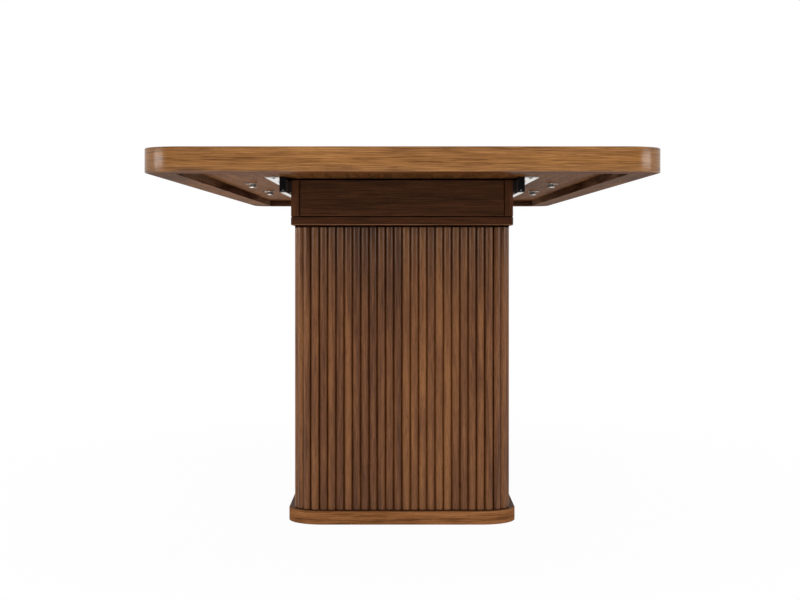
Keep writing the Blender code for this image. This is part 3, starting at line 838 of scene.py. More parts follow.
@dataclass
class Pedestal:
    """Slatted column on its plinth and glides, all on the base."""

    shelf: Shelf
    corner_radius: float = 0.0555
    slat_pitch: float = 0.0177
    slat_rise: float = 0.007
    slat_gap: float = 0.0008
    slat_foot: float = 0.0012
    # Height of the dark strip over the heads of the slats: a painted shadow under the cap.
    shadow_collar: float = 0.003
    slat_facets: int = 12
    leaf_start: int = 4
    leaf_slats: int = 6
    leaf_share: float = 0.7
    slat_seed: int = 161
    backing_depth: float = 0.003
    plinth_radius: float = 0.075
    plinth_ease: float = 0.002
    # Upward share of a face's normal past which it is part of the ledge, which gets painted shade.
    ledge_lean: float = 0.95
    glide_ease: float = 0.001

    def build(self) -> list[Object]:
        """Make and seat the pieces."""
        return [self.slats(), self.backing(), self.plinth(), *self.glides()]

    def slats(self) -> Object:
        """Stand the slats round the column.

        Returns:
            All of them, as one piece.
        """
        low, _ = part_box("corner_slats_front_left")
        _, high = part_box("corner_slats_rear_right")
        flat_x = high.x - self.corner_radius
        flat_y = high.y - self.corner_radius
        back = self.corner_radius - self.slat_rise
        foot = low.z + self.slat_foot
        corner_count = round(back * pi / 2 / self.slat_pitch)
        points: list[Vector] = []
        turns: list[float] = []
        for quarter in range(4):
            start = quarter * pi / 2
            across, along = (flat_x, flat_y) if quarter % 2 else (flat_y, flat_x)
            count = round(2 * across / self.slat_pitch)
            spin = Matrix.Rotation(start, 3, "Z")
            for index in range(count):
                side = across * ((2 * index + 1) / count - 1)
                points.append(spin @ Vector((along + back, side, foot)))
                turns.append(start + pi / 2)
            centre = spin @ Vector((along, across, foot))
            for index in range(corner_count):
                angle = start + (index + 0.5) * pi / 2 / corner_count
                points.append(centre + back * Vector((cos(angle), sin(angle), 0)))
                turns.append(angle + pi / 2)

        width = self.slat_pitch - self.slat_gap
        radius = (width * width / 4 + self.slat_rise ** 2) / (2 * self.slat_rise)
        sink = radius - self.slat_rise
        sizes = {
            "Slat Radius": radius,
            "Slat Sweep": 2 * atan2(width / 2, sink),
            "Slat Sink": sink,
            "Slat Height": high.z - self.shadow_collar - foot,
            "Facets": self.slat_facets + 1,
            "Leaf Start": float(self.leaf_start),
            "Leaf Slats": float(self.leaf_slats),
            "Leaf Share": self.leaf_share,
            "Seed": self.slat_seed,
            "Finish": self.shelf["walnut_slats"],
        }
        piece = SlatPattern("slats round a column").run("slat_wrap", points, turns, sizes)
        corners = [f"corner_slats_{end}_{side}" for end, side in product(ENDS, SIDES)]
        flats = [f"slats_{name}" for name in (*ENDS, *SIDES)]
        return seat(piece, "base", "slat_walnut", *corners, *flats)

    def backing(self) -> Object:
        """Wrap the backing, painted dark as shade in the grooves, with a collar over the heads of the
        slats as a painted shadow under the cap.

        Returns:
            The backing.
        """
        low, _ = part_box("corner_slats_front_left")
        _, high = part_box("corner_slats_rear_right")
        rise, head = self.slat_rise, high.z - self.shadow_collar
        inside = rise + self.backing_depth
        outside = [(rise, low.z), (rise, head), (0.0, head), (0.0, high.z)]
        shape = bmesh.new()
        rows = []
        for inset, z in (*outside, (inside, high.z), (inside, low.z)):
            outline = rounded_rectangle(2 * high.x, 2 * high.y, self.corner_radius, inset)
            rows.append([shape.verts.new((x, y, z)) for x, y in outline])
        for index, row in enumerate(rows):
            ahead = rows[(index + 1) % len(rows)]
            for place in range(len(row)):
                shape.faces.new((row[place - 1], row[place], ahead[place], ahead[place - 1]))
        bmesh.ops.recalc_face_normals(shape, faces=shape.faces)
        piece = make_piece("slat_backing", shape, self.shelf["stained_slat_backing"])
        return seat(piece, "base", "slat_walnut")

    def plinth(self) -> Object:
        """Make the plinth board, with the darker stained walnut on the ledge at the foot of the slats as
        painted shade.

        Returns:
            The board.
        """
        low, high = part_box("plinth")

        def outline(inset: float) -> list[Point]:
            """Draw the board's outline in."""
            return rounded_rectangle(high.x - low.x, high.y - low.y, self.plinth_radius, inset)

        levels = eased_levels(low.z, high.z, self.plinth_ease / 2, self.plinth_ease)
        finishes = (self.shelf["walnut_plinth"], self.shelf["stained_walnut_along"])
        piece = make_piece("plinth_board", slab(outline, levels), *finishes)
        # Painted shade on the ledge, where the top and the slats shade it.
        paint(piece, 1, lambda face: face.normal.z > self.ledge_lean)
        return seat(piece, "base", "plinth_walnut", "plinth")

    def glides(self) -> list[Object]:
        """Make the glides with round rims.

        Returns:
            The four glides.
        """
        pieces = []
        for end, side in product(ENDS, SIDES):
            node = f"glide_{end}_{side}"
            low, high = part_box(node)
            middle = (low + high) / 2

            def outline(inset: float) -> list[Point]:
                """Draw the glide's outline in."""
                return circle((middle.x, middle.y), (high.x - low.x) / 2 - inset)

            shape = slab(outline, eased_levels(low.z, high.z, self.glide_ease, 0.0))
            piece = make_piece(f"foot_glide_{end}_{side}", shape, self.shelf["black_nylon"])
            pieces.append(seat(piece, "base", "black_plastic", node))
        return pieces


@dataclass
class ApronBox:
    """Stained box on its cap plate, and the folded leaf in it.

    A lean is the share of a face's normal along an axis past which it takes another finish.
    """

    shelf: Shelf
    edge_ease: float = 0.0024
    strip_ease: float = 0.0016
    cap_ease: float = 0.0022
    cap_rebate: Point = (0.001, 0.0008)
    leaf_ease: float = 0.0012
    knuckles: int = 5
    knuckle_gap: float = 0.0006
    hinge_flap: float = 0.0012
    # The joint and groove leans pick the faces that get painted shade; the cap's edge leans pick its
    # painted highlight and the painted shade under it.
    end_joint_lean: float = 0.3
    end_groove_lean: float = 0.6
    strip_end_lean: float = 0.5
    strip_joint_lean: Point = (0.3, 0.15)
    strip_groove_lean: float = 0.4
    cap_edge_lean: Point = (0.1, 0.7)

    def build(self) -> list[Object]:
        """Make and seat the pieces, and dress the carcass boards inside the column.

        Returns:
            The pieces.
        """
        pieces = [self.cap()]
        pieces += [self.end_board(end) for end in ENDS]
        pieces += [self.side_board(side) for side in SIDES]
        for layer in ("lower", "upper"):
            node = f"leaf_panel_{layer}"
            finish = self.shelf["walnut_veneer_top"]
            leaf = eased_copy(f"stored_leaf_{layer}", node, self.leaf_ease, finish)
            pieces.append(seat(leaf, "base", "top_walnut", node))
        pieces += [self.hinge(side) for side in SIDES]
        for node in ("left", "right", "front", "rear", "divider"):
            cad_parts[f"carcass_{node}"].material_slots[0].material = self.shelf["raw_fibreboard"]
        return pieces

    def end_board(self, end: str) -> Object:
        """Make a board across an end of the box, with painted shade in its joints and in the groove under
        it.

        Args:
            end: End of the table that it is at.

        Returns:
            The board.
        """
        node = f"box_end_{end}"
        names = ("stained_walnut_across", "stained_joint", "blackened_joint")
        finishes = [self.shelf[name] for name in names]
        board = eased_copy(f"apron_end_{end}", node, self.edge_ease, *finishes)
        # Painted shade on the eased edges at the upright joints.
        paint(board, 1, lambda face: abs(face.normal.x) > self.end_joint_lean)
        # Painted shade on the lower eased edges, in the groove under the box.
        paint(board, 2, lambda face: face.normal.z < -self.end_groove_lean)
        return seat(board, "base", "dark_walnut", node)

    def side_board(self, side: str) -> Object:
        """Make a board along a side of the box, whose ends show beside the end boards.

        Args:
            side: Side of the table that it is on.

        Returns:
            The board.
        """
        node = f"box_side_{side}"
        names = ("stained_walnut_along", "stained_walnut_upright", "stained_joint", "blackened_joint")
        finishes = [self.shelf[name] for name in names]
        inward, endward = self.strip_joint_lean

        def joint(face: MeshPolygon) -> bool:
            """Tell whether a face is on the edge beside the end board."""
            return abs(face.normal.y) > endward and face.normal.x * SIDES[side] < -inward

        board = eased_copy(f"apron_side_{side}", node, self.strip_ease, *finishes)
        paint(board, 1, lambda face: abs(face.normal.y) > self.strip_end_lean)
        # Painted shade on the eased edge beside the end board.
        paint(board, 2, joint)
        # Painted shade on the lower eased edges, in the groove under the box.
        paint(board, 3, lambda face: face.normal.z < -self.strip_groove_lean)
        return seat(board, "base", "dark_walnut", node)

    def cap(self) -> Object:
        """Make the cap board, with a rebate painted nearly black as shade, which leaves a dark line under
        the box, and a painted highlight on its lower eased edge.

        Returns:
            The board.
        """
        low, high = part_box("cap_plate")
        depth, rise = self.cap_rebate
        shoulder = high.z - rise
        outer, under = self.cap_edge_lean

        def outline(inset: float) -> list[Point]:
            """Draw the board's outline in."""
            x, y = high.x - inset, high.y - inset
            return [(x, y), (-x, y), (-x, -y), (x, -y)]

        levels = eased_levels(low.z, shoulder, self.cap_ease, 0.0) + [(depth, shoulder), (depth, high.z)]
        names = ("stained_walnut_cap", "rubbed_walnut_edge", "blackened_joint")
        piece = make_piece("cap_board", slab(outline, levels), *(self.shelf[name] for name in names))
        # Painted highlight on the cap's lower eased edge.
        paint(piece, 1, lambda face: -under < face.normal.z < -outer)
        # Painted shade in the rebate and on the underside of the cap.
        paint(piece, 2, lambda face: face.center.z >= shoulder or face.normal.z < -under)
        return seat(piece, "base", "dark_walnut", "cap_plate")

    def hinge(self, side: str) -> Object:
        """Make a closed hinge with its knuckles parted along the barrel.

        Args:
            side: Side of the table that it is on.

        Returns:
            The hinge.
        """
        node = f"leaf_hinge_{side}"
        low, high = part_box(node)
        radius = (high.z - low.z) / 2
        middle_z = (low.z + high.z) / 2
        barrel_y = high.y - radius
        flap = self.hinge_flap
        neck = asin(flap / radius)

        def section(x: float, shrink: float) -> Ring:
            """Give the section of flaps and barrel at a place across."""
            barrel = arc((barrel_y, middle_z), radius - shrink, neck - pi, pi - neck, ROUND_STEPS)
            outline = [(low.y, middle_z - flap), *barrel, (low.y, middle_z + flap)]
            return [Vector((x, y, z)) for y, z in outline]

        rings: list[Ring] = []
        pitch = (high.x - low.x) / self.knuckles
        gap = self.knuckle_gap / 2
        for index in range(self.knuckles):
            start = low.x + index * pitch
            stop = start + pitch
            rings += [section(start + gap, gap), section(start + 2 * gap, 0)]
            rings += [section(stop - 2 * gap, 0), section(stop - gap, gap)]
        finish = self.shelf["satin_brass"]
        piece = make_piece(f"butt_hinge_{side}", loft(rings), finish, smooth=KNUCKLE_SMOOTH)
        return seat(piece, "base", "brass", node)


@dataclass
class Slides:
    """Black telescopic rails at both sides of the box, and the zinc brackets that the halves hang on."""

    shelf: Shelf
    sheet: float = 0.0015
    fold: float = 0.0022
    tip_ease: float = 0.0005
    bracket_fold: float = 0.0028
    stop_length: float = 0.014
    stop_plate: float = 0.0012
    stop_drop: float = 0.0012
    stop_ease: float = 0.0006
    rivet_radius: float = 0.0017
    rivet_rise: float = 0.0049
    rivet_dome: float = 0.0009
    # Angle of the dome at which a rivet's flat tip starts.
    rivet_turn: float = radians(80)

    def build(self) -> list[Object]:
        """Make and seat the pieces.

        Returns:
            The rails, brackets, stops and rivets.
        """
        pieces = []
        for side in SIDES:
            pieces.append(self.rail(f"fixed_rail_{side}", f"slide_outer_{side}", side, "base", True))
        for end in ENDS:
            for side in SIDES:
                mid = f"{end}_mid_rail_{side}"
                pieces.append(self.rail(mid, f"{end}_slide_middle_{side}", side, f"{end}_mid", True))
                runner = f"{end}_runner_rail_{side}"
                pieces.append(self.rail(runner, f"{end}_slide_inner_{side}", side, f"{end}_top", False))
                pieces.append(self.bracket(end, side))
                pieces.append(self.end_stop(end, side))
            pieces.append(self.rivets(end))
        return pieces

    def rail(self, node: str, name: str, side: str, body: str, web_inside: bool) -> Object:
        """Make a folded C rail.

        Args:
            node: CAD node that it stands for.
            name: The piece's name.
            side: Side of the box that it is on.
            body: Body that it rides on.
            web_inside: Whether its web is on the box's side.

        Returns:
            The rail.
        """
        low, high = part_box(node)
        web_low = (side == "right") == web_inside
        web, tip = (low.x, high.x) if web_low else (high.x, low.x)
        inner = web + (self.sheet if web_low else -self.sheet)
        bottom, top = low.z + self.sheet, high.z - self.sheet
        corners = [
            (web, low.z), (tip, low.z), (tip, bottom), (inner, bottom),
            (inner, top), (tip, top), (tip, high.z), (web, high.z),
        ]
        tips = [self.tip_ease, self.tip_ease]
        bend = self.fold - self.sheet
        outline = round_corners(corners, [self.fold, *tips, bend, bend, *tips, self.fold])
        piece = self.fold_sheet(name, outline, low.y, high.y, "black_coated_steel")
        return seat(piece, body, "black_steel", node)

    def fold_sheet(self, name: str, outline: list[Point], start: float, end: float, finish: str) -> Object:
        """Run a folded section, given across and up, along the table from one place to another."""
        rings = [upright_ring(outline, y) for y in (start, end)]
        return make_piece(name, loft(rings), self.shelf[finish], smooth=SHEET_SMOOTH)

    def bracket(self, end: str, side: str) -> Object:
        """Make a zinc Z bracket: flange under the top, web, and lip under the rails.

        Args:
            end: Half of the top that it is on.
            side: Side of the box that it is on.

        Returns:
            The bracket.
        """
        node = f"{end}_bracket_{side}"
        low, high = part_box(node)
        rail_low, rail_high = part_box(f"{end}_runner_rail_{side}")
        sheet = BRACKET_SHEET
        if side == "right":
            lip, web, flange, out = low.x, rail_high.x + JOINT_GAP, high.x, sheet
        else:
            lip, web, flange, out = high.x, rail_low.x - JOINT_GAP, low.x, -sheet
        corners = [
            (web, high.z), (flange, high.z), (flange, high.z - sheet), (web + out, high.z - sheet),
            (web + out, low.z), (lip, low.z), (lip, low.z + sheet), (web, low.z + sheet),
        ]
        fold, tips = self.bracket_fold, [self.tip_ease, self.tip_ease]
        bend = fold - sheet
        outline = round_corners(corners, [fold, *tips, bend, fold, *tips, bend])
        piece = self.fold_sheet(f"{end}_zinc_bracket_{side}", outline, low.y, high.y, "zinc_plate")
        return seat(piece, f"{end}_top", "zinc_steel", node)

    def end_stop(self, end: str, side: str) -> Object:
        """Make the moulded stop in the outer end of a runner rail, with a plate over the sheet ends.

        Args:
            end: Half of the top that it is on.
            side: Side of the box that it is on.

        Returns:
            The stop.
        """
        low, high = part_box(f"{end}_runner_rail_{side}")
        bracket_low, bracket_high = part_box(f"{end}_bracket_{side}")
        out = SIDES[side]
        tip, web = (low.x, high.x) if side == "right" else (high.x, low.x)
        outer = low.y if end == "front" else high.y
        room = self.sheet + 2 * JOINT_GAP
        cover = 2 * JOINT_GAP + BRACKET_SHEET
        height = (bracket_low.z + self.stop_drop, bracket_high.z - JOINT_GAP)
        plug = ((tip, web - out * room), (low.z + room, high.z - room), -self.stop_length, 0.0)
        plate = ((tip, web + out * cover), height, JOINT_GAP, JOINT_GAP + self.stop_plate)
        shapes = []
        for across, (bottom, top), start, stop in (plug, plate):
            near, far = sorted(across)
            rings = []
            for inset, reach in eased_levels(start, stop, 0.0, self.stop_ease):
                left, right = near + inset, far - inset
                lower, upper = bottom + inset, top - inset
                corners = [(left, lower), (right, lower), (right, upper), (left, upper)]
                outline = round_corners(corners, [self.stop_ease] * len(corners))
                rings.append(upright_ring(outline, outer + ENDS[end] * reach))
            shapes.append(loft(rings))
        piece = make_piece(f"{end}_slide_stop_{side}", merge(*shapes), self.shelf["black_nylon"])
        return seat(piece, f"{end}_top", "black_plastic")

    def rivets(self, end: str) -> Object:
        """Set a rivet in the foot of each stop's plate.

        Args:
            end: Half of the top that they are on.

        Returns:
            Both rivets, as one piece.
        """
        shapes = []
        for side in SIDES:
            low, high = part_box(f"{end}_runner_rail_{side}")
            outer = low.y if end == "front" else high.y
            face = outer + ENDS[end] * (JOINT_GAP + self.stop_plate)
            centre = ((low.x + high.x) / 2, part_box(f"{end}_bracket_{side}")[0].z + self.rivet_rise)
            rings = []
            for step in range(EASE_STEPS + 1):
                angle = step / EASE_STEPS * self.rivet_turn
                y = face + ENDS[end] * self.rivet_dome * sin(angle)
                rings.append(upright_ring(circle(centre, self.rivet_radius * cos(angle)), y))
            shapes.append(loft(rings))
        finish = self.shelf["dark_zinc"]
        piece = make_piece(f"{end}_stop_rivets", merge(*shapes), finish, smooth=ROUND_SMOOTH)
        return seat(piece, f"{end}_top", "zinc_steel")


@dataclass
class TopHalf:
    """One half of the top, with its frame below, bolts, bracket screws and dowels."""

    shelf: Shelf
    end: str
    fasteners: FastenerPattern
    corner_radius: float = 0.070
    band: float = 0.002
    band_ease: float = 0.0016
    panel_ease: float = 0.0004
    under_ease: float = 0.0007
    # Share of a face's normal that points into the recess, past which it is part of the wall.
    wall_lean: float = 0.9
    bolt_radius: float = 0.0093
    bolt_neck: float = 0.0066
    bolt_rim: float = 0.0046
    bolt_socket: float = 0.003
    tab_tip: float = 0.006
    tab_sheet: float = 0.0016
    screw_radius: float = 0.0042
    screw_dome: float = 0.0022
    # Angle of the dome at which a screw's flat face starts.
    screw_dome_turn: float = pi / 3
    screw_sink: float = 0.00044
    recess_arm: float = 0.000588
    recess_reach: float = 0.00231
    recess_depth: float = 0.00132
    screw_inset: float = 0.016
    screw_count: int = 4
    # Angle between the recesses of neighbouring screws.
    screw_turn: float = 0.4
    bore_steps: int = 24
    dowel_tip: float = 0.0015
    dowel_flutes: int = 12
    dowel_flute: float = 0.0003
    flute_steps: int = 4

    @property
    def body(self) -> str:
        """Name of the body that this half is."""
        return f"{self.end}_top"

    def build(self) -> list[Object]:
        """Make and seat the pieces.

        Returns:
            The pieces, with the dowels on the front half.
        """
        pieces = [self.edge_band(), self.top_panel(), self.end_border(), self.backing_panel()]
        pieces += [self.side_border(side) for side in SIDES]
        pieces += [*self.bolts(), self.screws()]
        if self.end == "front":
            pieces += [self.dowel(side) for side in SIDES]
        return pieces

    def stations(self, inset: float, inner: float) -> list[tuple[Vector, Vector]]:
        """Walk round the outside of this half, from one side to the other.

        Args:
            inset: How far in from the outside edge.
            inner: Distance from the middle of the table at which the walk starts and ends.

        Returns:
            Places and the directions that point out there.
        """
        low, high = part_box(f"{self.end}_edge_band")
        half_width = high.x
        reach = max(abs(low.y), abs(high.y))
        corner_x = half_width - self.corner_radius
        corner_y = reach - self.corner_radius
        sign = ENDS[self.end]
        walk = [(Vector((half_width - inset, sign * inner)), Vector((1, 0)))]
        for side, start in ((1, 0.0), (-1, pi / 2)):
            for step in range(CORNER_STEPS + 1):
                angle = start + pi / 2 * step / CORNER_STEPS
                out = Vector((cos(angle), sign * sin(angle)))
                centre = Vector((side * corner_x, sign * corner_y))
                walk.append((centre + out * (self.corner_radius - inset), out))
        walk.append((Vector((inset - half_width, sign * inner)), Vector((-1, 0))))
        return walk

    def inner_distance(self, node: str) -> float:
        """Give how far a node's inner edge is from the middle of the table."""
        low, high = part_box(node)
        return min(abs(low.y), abs(high.y))

    def board(self, node: str, low_ease: float, high_ease: float) -> BMesh:
        """Make a board that fills this half inside the edge band, from its node's inner edge out.

        Args:
            node: CAD node that gives its place.
            low_ease: Radius of its bottom edge, or 0.
            high_ease: Radius of its top edge, or 0.

        Returns:
            The closed shape.
        """
        low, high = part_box(node)
        inset = self.band + JOINT_GAP
        inner = self.inner_distance(node)

        def outline(ease: float) -> list[Point]:
            """Draw the board's outline in."""
            return [tuple(place) for place, _ in self.stations(inset + ease, inner + ease)]

        return slab(outline, eased_levels(low.z, high.z, low_ease, high_ease))

    def edge_band(self) -> Object:
        """Bend the edge band round the outside, with its outer edges eased.

        Returns:
            The band.
        """
        node = f"{self.end}_edge_band"
        low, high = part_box(node)
        levels = eased_levels(low.z, high.z, self.band_ease, self.band_ease)
        profile = [(self.band, low.z), *levels, (self.band, high.z)]
        rings = []
        for place, out in self.stations(0.0, self.inner_distance(node)):
            rings.append([Vector((*(place - out * depth), z)) for depth, z in profile])
        piece = make_piece(f"{self.end}_edge_banding", loft(rings), self.shelf["walnut_edge_banding"])
        return seat(piece, self.body, "top_walnut", node)

    def top_panel(self) -> Object:
        """Make the board of the top, bored for the dowels at the seam.

        Returns:
            The board.
        """
        node = f"{self.end}_top_panel"
        shape = self.board(node, 0.0, self.panel_ease)
        piece = make_piece(f"{self.end}_top_board", shape, self.shelf["walnut_veneer_top"])
        drills = []
        for side in SIDES:
            low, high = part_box(f"seam_dowel_{side}")
            middle = (low + high) / 2
            radius = (high.z - low.z) / 2 + JOINT_GAP
            outline = circle((middle.x, middle.z), radius, self.bore_steps)
            rings = [upright_ring(outline, y) for y in (low.y - JOINT_GAP, high.y + JOINT_GAP)]
            drills.append(make_piece(f"drill_{side}", loft(rings)))
            piece.modifiers.new(f"bore_{side}", "BOOLEAN").object = drills[-1]
        flatten(piece)
        for drill in drills:
            bpy.data.objects.remove(drill)
        return seat(piece, self.body, "top_walnut", node)

    def end_border(self) -> Object:
        """Make the border strip across the end, with dark stained walnut on the wall of the recess as
        painted shade.

        Returns:
            The strip.
        """
        node = f"{self.end}_border_end"
        finishes = (self.shelf["walnut_veneer_underside_across"], self.shelf["stained_walnut_across"])
        piece = make_piece(f"{self.end}_frame_end", self.board(node, self.under_ease, 0.0), *finishes)
        # Painted shade on the wall of the recess.
        paint(piece, 1, lambda face: face.normal.y * ENDS[self.end] < -self.wall_lean)
        return seat(piece, self.body, "underside_walnut", node)

    def side_border(self, side: str) -> Object:
        """Make a border strip along a side, dark on the wall of the recess.

        Args:
            side: Side of the table that it is on.

        Returns:
            The strip.
        """
        node = f"{self.end}_border_{side}"
        finishes = (self.shelf["walnut_veneer_underside"], self.shelf["walnut_recess_wall"])
        piece = eased_copy(f"{self.end}_frame_{side}", node, self.under_ease, *finishes)
        paint(piece, 1, lambda face: face.normal.x * SIDES[side] < -self.wall_lean)
        return seat(piece, self.body, "underside_walnut", node)

    def backing_panel(self) -> Object:
        """Make the panel that shows in the recess under the top.

        Returns:
            The panel.
        """
        node = f"{self.end}_sub_panel"
        finish = self.shelf["walnut_veneer_underside"]
        piece = eased_copy(f"{self.end}_recess_panel", node, self.under_ease / 2, finish)
        return seat(piece, self.body, "underside_walnut", node)

    def bolts(self) -> list[Object]:
        """Set the bolts under this half, each with its clamping tab outwards and its neck in darker zinc
        as painted shade.

        Returns:
            The bolts, and their necks.
        """
        low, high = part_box(f"{self.end}_bolt_right")
        panel_low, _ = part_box(f"{self.end}_sub_panel")
        radius = (high.y - low.y) / 2
        axis = Vector((low.x + radius, (low.y + high.y) / 2, panel_low.z - JOINT_GAP))
        tip_x = high.x - axis.x - self.tab_tip
        turn = pi / 2 - asin((radius - self.tab_tip) / tip_x)

        def tab_outline(inset: float) -> list[Point]:
            """Draw the tab's outline in."""
            wide = arc((0.0, 0.0), radius - inset, turn, 2 * pi - turn, ROUND_STEPS)
            return wide + arc((tip_x, 0.0), self.tab_tip - inset, -turn, turn, ROUND_STEPS // 2)

        def hexagon(angle: float) -> float:
            """Give the reach of the socket's six flats."""
            return self.bolt_socket / cos((angle + pi / 6) % (pi / 3) - pi / 6)

        tab = slab(tab_outline, eased_levels(-self.tab_sheet, 0.0, self.tab_sheet / 3, 0.0))
        head_z = low.z - axis.z
        rim = eased_levels(head_z, head_z + self.bolt_rim, self.bolt_rim / 2, self.bolt_rim / 2)
        head = headed(star(hexagon), self.bolt_socket, rim, self.bolt_radius)
        neck_levels = (head_z + self.bolt_rim / 2, -self.tab_sheet / 2)
        neck = loft([level_ring(circle((0.0, 0.0), self.bolt_neck), z) for z in neck_levels])
        points = [Vector((side * axis.x, axis.y, axis.z)) for side in SIDES.values()]
        pieces = []
        # The necks take the darker zinc as painted shade under the heads.
        for name, shape, finish in (
            ("tab_bolts", merge(tab, head), "satin_zinc"), ("bolt_necks", neck, "dark_zinc")
        ):
            title = f"{self.end}_{name}"
            piece = self.fasteners.fasten(title, shape, points, [pi, 0.0], self.shelf[finish])
            pieces.append(seat(piece, self.body, "zinc_steel"))
        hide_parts(*(f"{self.end}_bolt_{side}" for side in SIDES))
        return pieces

    def screws(self) -> Object:
        """Set the pan head screws that hold the bracket flanges to the top.

        Returns:
            All of them, as one piece.
        """
        arm, reach = self.recess_arm, self.recess_reach

        def cross(angle: float) -> float:
            """Give the reach of the cross recess."""
            near, far = sorted((abs(cos(angle)), abs(sin(angle))))
            return min(reach / far, arm / near if near > NEARLY_ZERO else reach)

        levels = []
        for step in range(EASE_STEPS, -1, -1):
            angle = self.screw_dome_turn * step / EASE_STEPS
            levels.append((self.screw_radius * (1 - cos(angle)), -self.screw_dome * sin(angle)))
        levels.append((0.0, self.screw_sink))
        head = headed(star(cross), self.recess_depth, levels, self.screw_radius)
        points = []
        for side in SIDES:
            low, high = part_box(f"{self.end}_bracket_{side}")
            rail_low, rail_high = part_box(f"{self.end}_runner_rail_{side}")
            flange = (high.x + rail_high.x) / 2 if side == "right" else (low.x + rail_low.x) / 2
            spacing = (high.y - low.y - 2 * self.screw_inset) / (self.screw_count - 1)
            for index in range(self.screw_count):
                y = low.y + self.screw_inset + index * spacing
                points.append(Vector((flange, y, high.z - BRACKET_SHEET)))
        turns = [self.screw_turn * index for index in range(len(points))]
        name = f"{self.end}_bracket_screws"
        piece = self.fasteners.fasten(name, head, points, turns, self.shelf["dark_zinc"])
        return seat(piece, self.body, "zinc_steel")

    def dowel(self, side: str) -> Object:
        """Make a fluted dowel that stands out of the seam.

        Args:
            side: Side of the table that it is on.

        Returns:
            The dowel.
        """
        node = f"seam_dowel_{side}"
        low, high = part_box(node)
        middle = (low + high) / 2
        radius = (high.z - low.z) / 2
        tip = self.dowel_tip
        steps = self.flute_steps * self.dowel_flutes
        rings = []
        for inset, y in ((tip, low.y), (0.0, low.y + tip), (0.0, high.y - tip), (tip, high.y)):
            ring = []
            for step in range(steps):
                angle = 2 * pi * step / steps
                reach = radius - inset - (0.0 if step % self.flute_steps else self.dowel_flute)
                ring.append(Vector((middle.x + reach * cos(angle), y, middle.z + reach * sin(angle))))
            rings.append(ring)
        piece = make_piece(f"fluted_dowel_{side}", loft(rings), self.shelf["beech_dowel"])
        return seat(piece, self.body, "beech", node)


@dataclass(frozen=True)
class Softbox:
    """A soft lamp: where it hangs, where it points, its width and height, power and beam."""

    name: str
    place: Place
    target: Place
    size: Point
    watts: float
    beam: float = pi
    mirrored: bool = True

    def hang(self) -> None:
        """Add the lamp, which the camera doesn't see, to the scene."""
        data = bpy.data.lights.new(self.name, "AREA")
        data.shape = "RECTANGLE"
        data.size, data.size_y = self.size
        data.energy = self.watts
        data.spread = self.beam
        lamp = bpy.data.objects.new(self.name, data)
        lamp.location = self.place
        aim = Vector(self.target) - Vector(self.place)
        lamp.rotation_euler = aim.to_track_quat("-Z", "Y").to_euler()
        lamp.visible_camera = False
        lamp.visible_glossy = self.mirrored
        bpy.context.scene.collection.objects.link(lamp)


# Angle of the narrow beam that the strips on the floor throw.
UPLIGHT_BEAM = radians(32)

SOFTBOXES = (
    # Weak boxes off the front corners, which glow in the round of the edge band.
    Softbox("left_corner_softbox", (-3.2, -1.9, 0.9), (-0.42, -1.1, 0.74), (1.6, 0.6), 21.0),
    Softbox("right_corner_softbox", (3.2, -1.9, 0.9), (0.42, -1.1, 0.74), (1.6, 0.6), 19.0),
    # Boxes round the table, which stay out of the lacquer, where they would lie as a veil.
    Softbox("left_softbox", (-4.0, 0.9, 1.1), (-0.3, 0.2, 0.5), (2.6, 1.6), 60.0, mirrored=False),
    Softbox("right_softbox", (4.0, 0.9, 1.1), (0.3, 0.2, 0.5), (2.6, 1.6), 45.0, mirrored=False),
    Softbox("front_softbox", (0.0, -5.0, 1.8), (0.0, 0.0, 0.6), (5.0, 1.6), 180.0, mirrored=False),
    # A box overhead for the top, which it may mirror in.
    Softbox("overhead_softbox", (0.0, 0.0, 3.6), (0.0, 0.0, 0.0), (4.0, 5.0), 85.0),
    # A box behind the table, which stays out of the lacquer too.
    Softbox("rear_softbox", (0.0, 6.0, 2.0), (0.0, 0.0, 0.5), (4.0, 2.4), 110.0, mirrored=False),
    # Strips on the floor that light the overhanging sides from below.
    Softbox("left_uplight", (-0.62, 0.1, 0.02), (-0.36, 0.1, 0.73), (1.6, 0.1), 0.85, beam=UPLIGHT_BEAM),
    Softbox("right_uplight", (0.62, 0.1, 0.02), (0.36, 0.1, 0.73), (1.6, 0.1), 0.4, beam=UPLIGHT_BEAM),
)


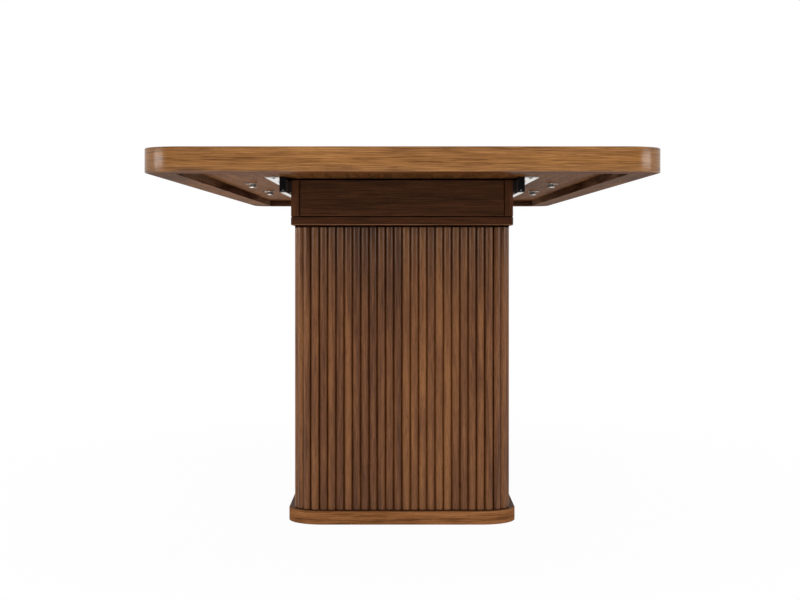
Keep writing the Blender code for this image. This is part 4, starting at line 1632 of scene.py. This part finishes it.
@dataclass
class Studio:
    """White floor and surroundings, soft lamps, and a level camera at the front end."""

    sensor_mm: float = 36.0
    focal_pixels: float = 1565.0
    camera_place: Place = (-0.0043, -3.766, 0.585)
    horizon_pixel: float = 248.92
    floor_colour: str = "#E8E8E8"
    floor_half: float = 30.0
    # White share of the floor as it is seen: this near the table, and all of it past the fade.
    floor_share: float = 0.97
    floor_fade: Point = (0.9, 2.4)
    # Light from all round, as a share of the white that is seen.
    ambient: float = 0.08
    # Mirrored surroundings turn from dim to white between these Y parts of a ray's direction.
    dim_front: Point = (-0.95, -0.3)
    dim_level: float = 0.1

    def build(self) -> None:
        """Set the camera, floor, surroundings and lamps."""
        self.camera()
        self.floor()
        self.surroundings()
        for softbox in SOFTBOXES:
            softbox.hang()
        bpy.context.scene.view_settings.view_transform = "Standard"

    def camera(self) -> None:
        """Make the camera, level, with the horizon where the photograph has it."""
        data = bpy.data.cameras.new("camera")
        data.sensor_width = self.sensor_mm
        data.lens = self.sensor_mm * self.focal_pixels / IMAGE_WIDTH
        data.shift_y = (self.horizon_pixel - IMAGE_HEIGHT / 2) / IMAGE_WIDTH
        camera = bpy.data.objects.new("camera", data)
        camera.location = self.camera_place
        camera.rotation_euler = (pi / 2, 0, 0)
        bpy.context.scene.collection.objects.link(camera)
        bpy.context.scene.camera = camera

    def floor(self) -> None:
        """Lay a pale floor that reads as white and keeps a faint shadow."""
        shape = bmesh.new()
        bmesh.ops.create_grid(shape, x_segments=1, y_segments=1, size=self.floor_half)
        material = bpy.data.materials.new("pale_floor")
        material.use_nodes = True
        tree = material.node_tree
        tree.nodes.clear()
        node = partial(add_node, tree)
        matt = node("ShaderNodeBsdfDiffuse", {"Color": linear(self.floor_colour)})
        place = node("ShaderNodeTexCoord").outputs["Object"]
        away = node("ShaderNodeVectorMath", {0: place}, operation="LENGTH").outputs["Value"]
        near, far = self.floor_fade
        fade = {"Value": away, "From Min": near, "From Max": far, "To Min": self.floor_share}
        glow = {0: self.seen_rays(tree), 1: node("ShaderNodeMapRange", fade)}
        share = node("ShaderNodeMath", glow, operation="MULTIPLY")
        mixed = node("ShaderNodeMixShader", {0: share, 1: matt, 2: node("ShaderNodeEmission")})
        node("ShaderNodeOutputMaterial", {"Surface": mixed})
        make_piece("floor", shape, material)

    def seen_rays(self, tree: NodeTree, mirrored: Node | None = None) -> Node:
        """Give a value of 1 for rays from the camera, and those that mirror or pass on to it.

        Args:
            tree: Shader tree that gets the nodes.
            mirrored: Value for rays that mirror, in place of 1.

        Returns:
            The node with the value.
        """
        node = partial(add_node, tree)
        path = node("ShaderNodeLightPath").outputs
        glossy = path["Is Glossy Ray"]
        if mirrored is not None:
            glossy = node("ShaderNodeMath", {0: glossy, 1: mirrored}, operation="MULTIPLY")
        direct = {0: path["Is Camera Ray"], 1: path["Is Transmission Ray"]}
        straight = node("ShaderNodeMath", direct, operation="MAXIMUM")
        return node("ShaderNodeMath", {0: straight, 1: glossy}, operation="MAXIMUM")

    def surroundings(self) -> None:
        """Make the world white to look at, and a dimmer light all round."""
        world = bpy.data.worlds.new("white_surroundings")
        world.use_nodes = True
        bpy.context.scene.world = world
        tree = world.node_tree
        node = partial(add_node, tree)
        way = node("ShaderNodeTexCoord").outputs["Generated"]
        depth = node("ShaderNodeSeparateXYZ", {0: way}).outputs["Y"]
        start, end = self.dim_front
        dimmed = {"Value": depth, "From Min": start, "From Max": end, "To Min": self.dim_level}
        seen = self.seen_rays(tree, node("ShaderNodeMapRange", dimmed))
        strength = node("ShaderNodeMapRange", {"Value": seen, "To Min": self.ambient})
        wire(tree, tree.nodes["Background"], {"Color": linear("#FFFFFF"), "Strength": strength})


def main() -> None:
    """Build the sub-assemblies in order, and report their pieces."""
    logging.basicConfig(level=logging.INFO, format="%(name)s: %(message)s")
    shelf = {finish.name: finish.build() for finish in FINISHES}
    fasteners = FastenerPattern("fasteners on points")
    halves = [TopHalf(shelf, end, fasteners) for end in ENDS]
    for assembly in (Pedestal(shelf), ApronBox(shelf), Slides(shelf), *halves):
        for piece in assembly.build():
            log.info("%s: %s, %d faces", type(assembly).__name__, piece.name, len(piece.data.polygons))
    Studio().build()


if __name__ == "__main__":
    main()
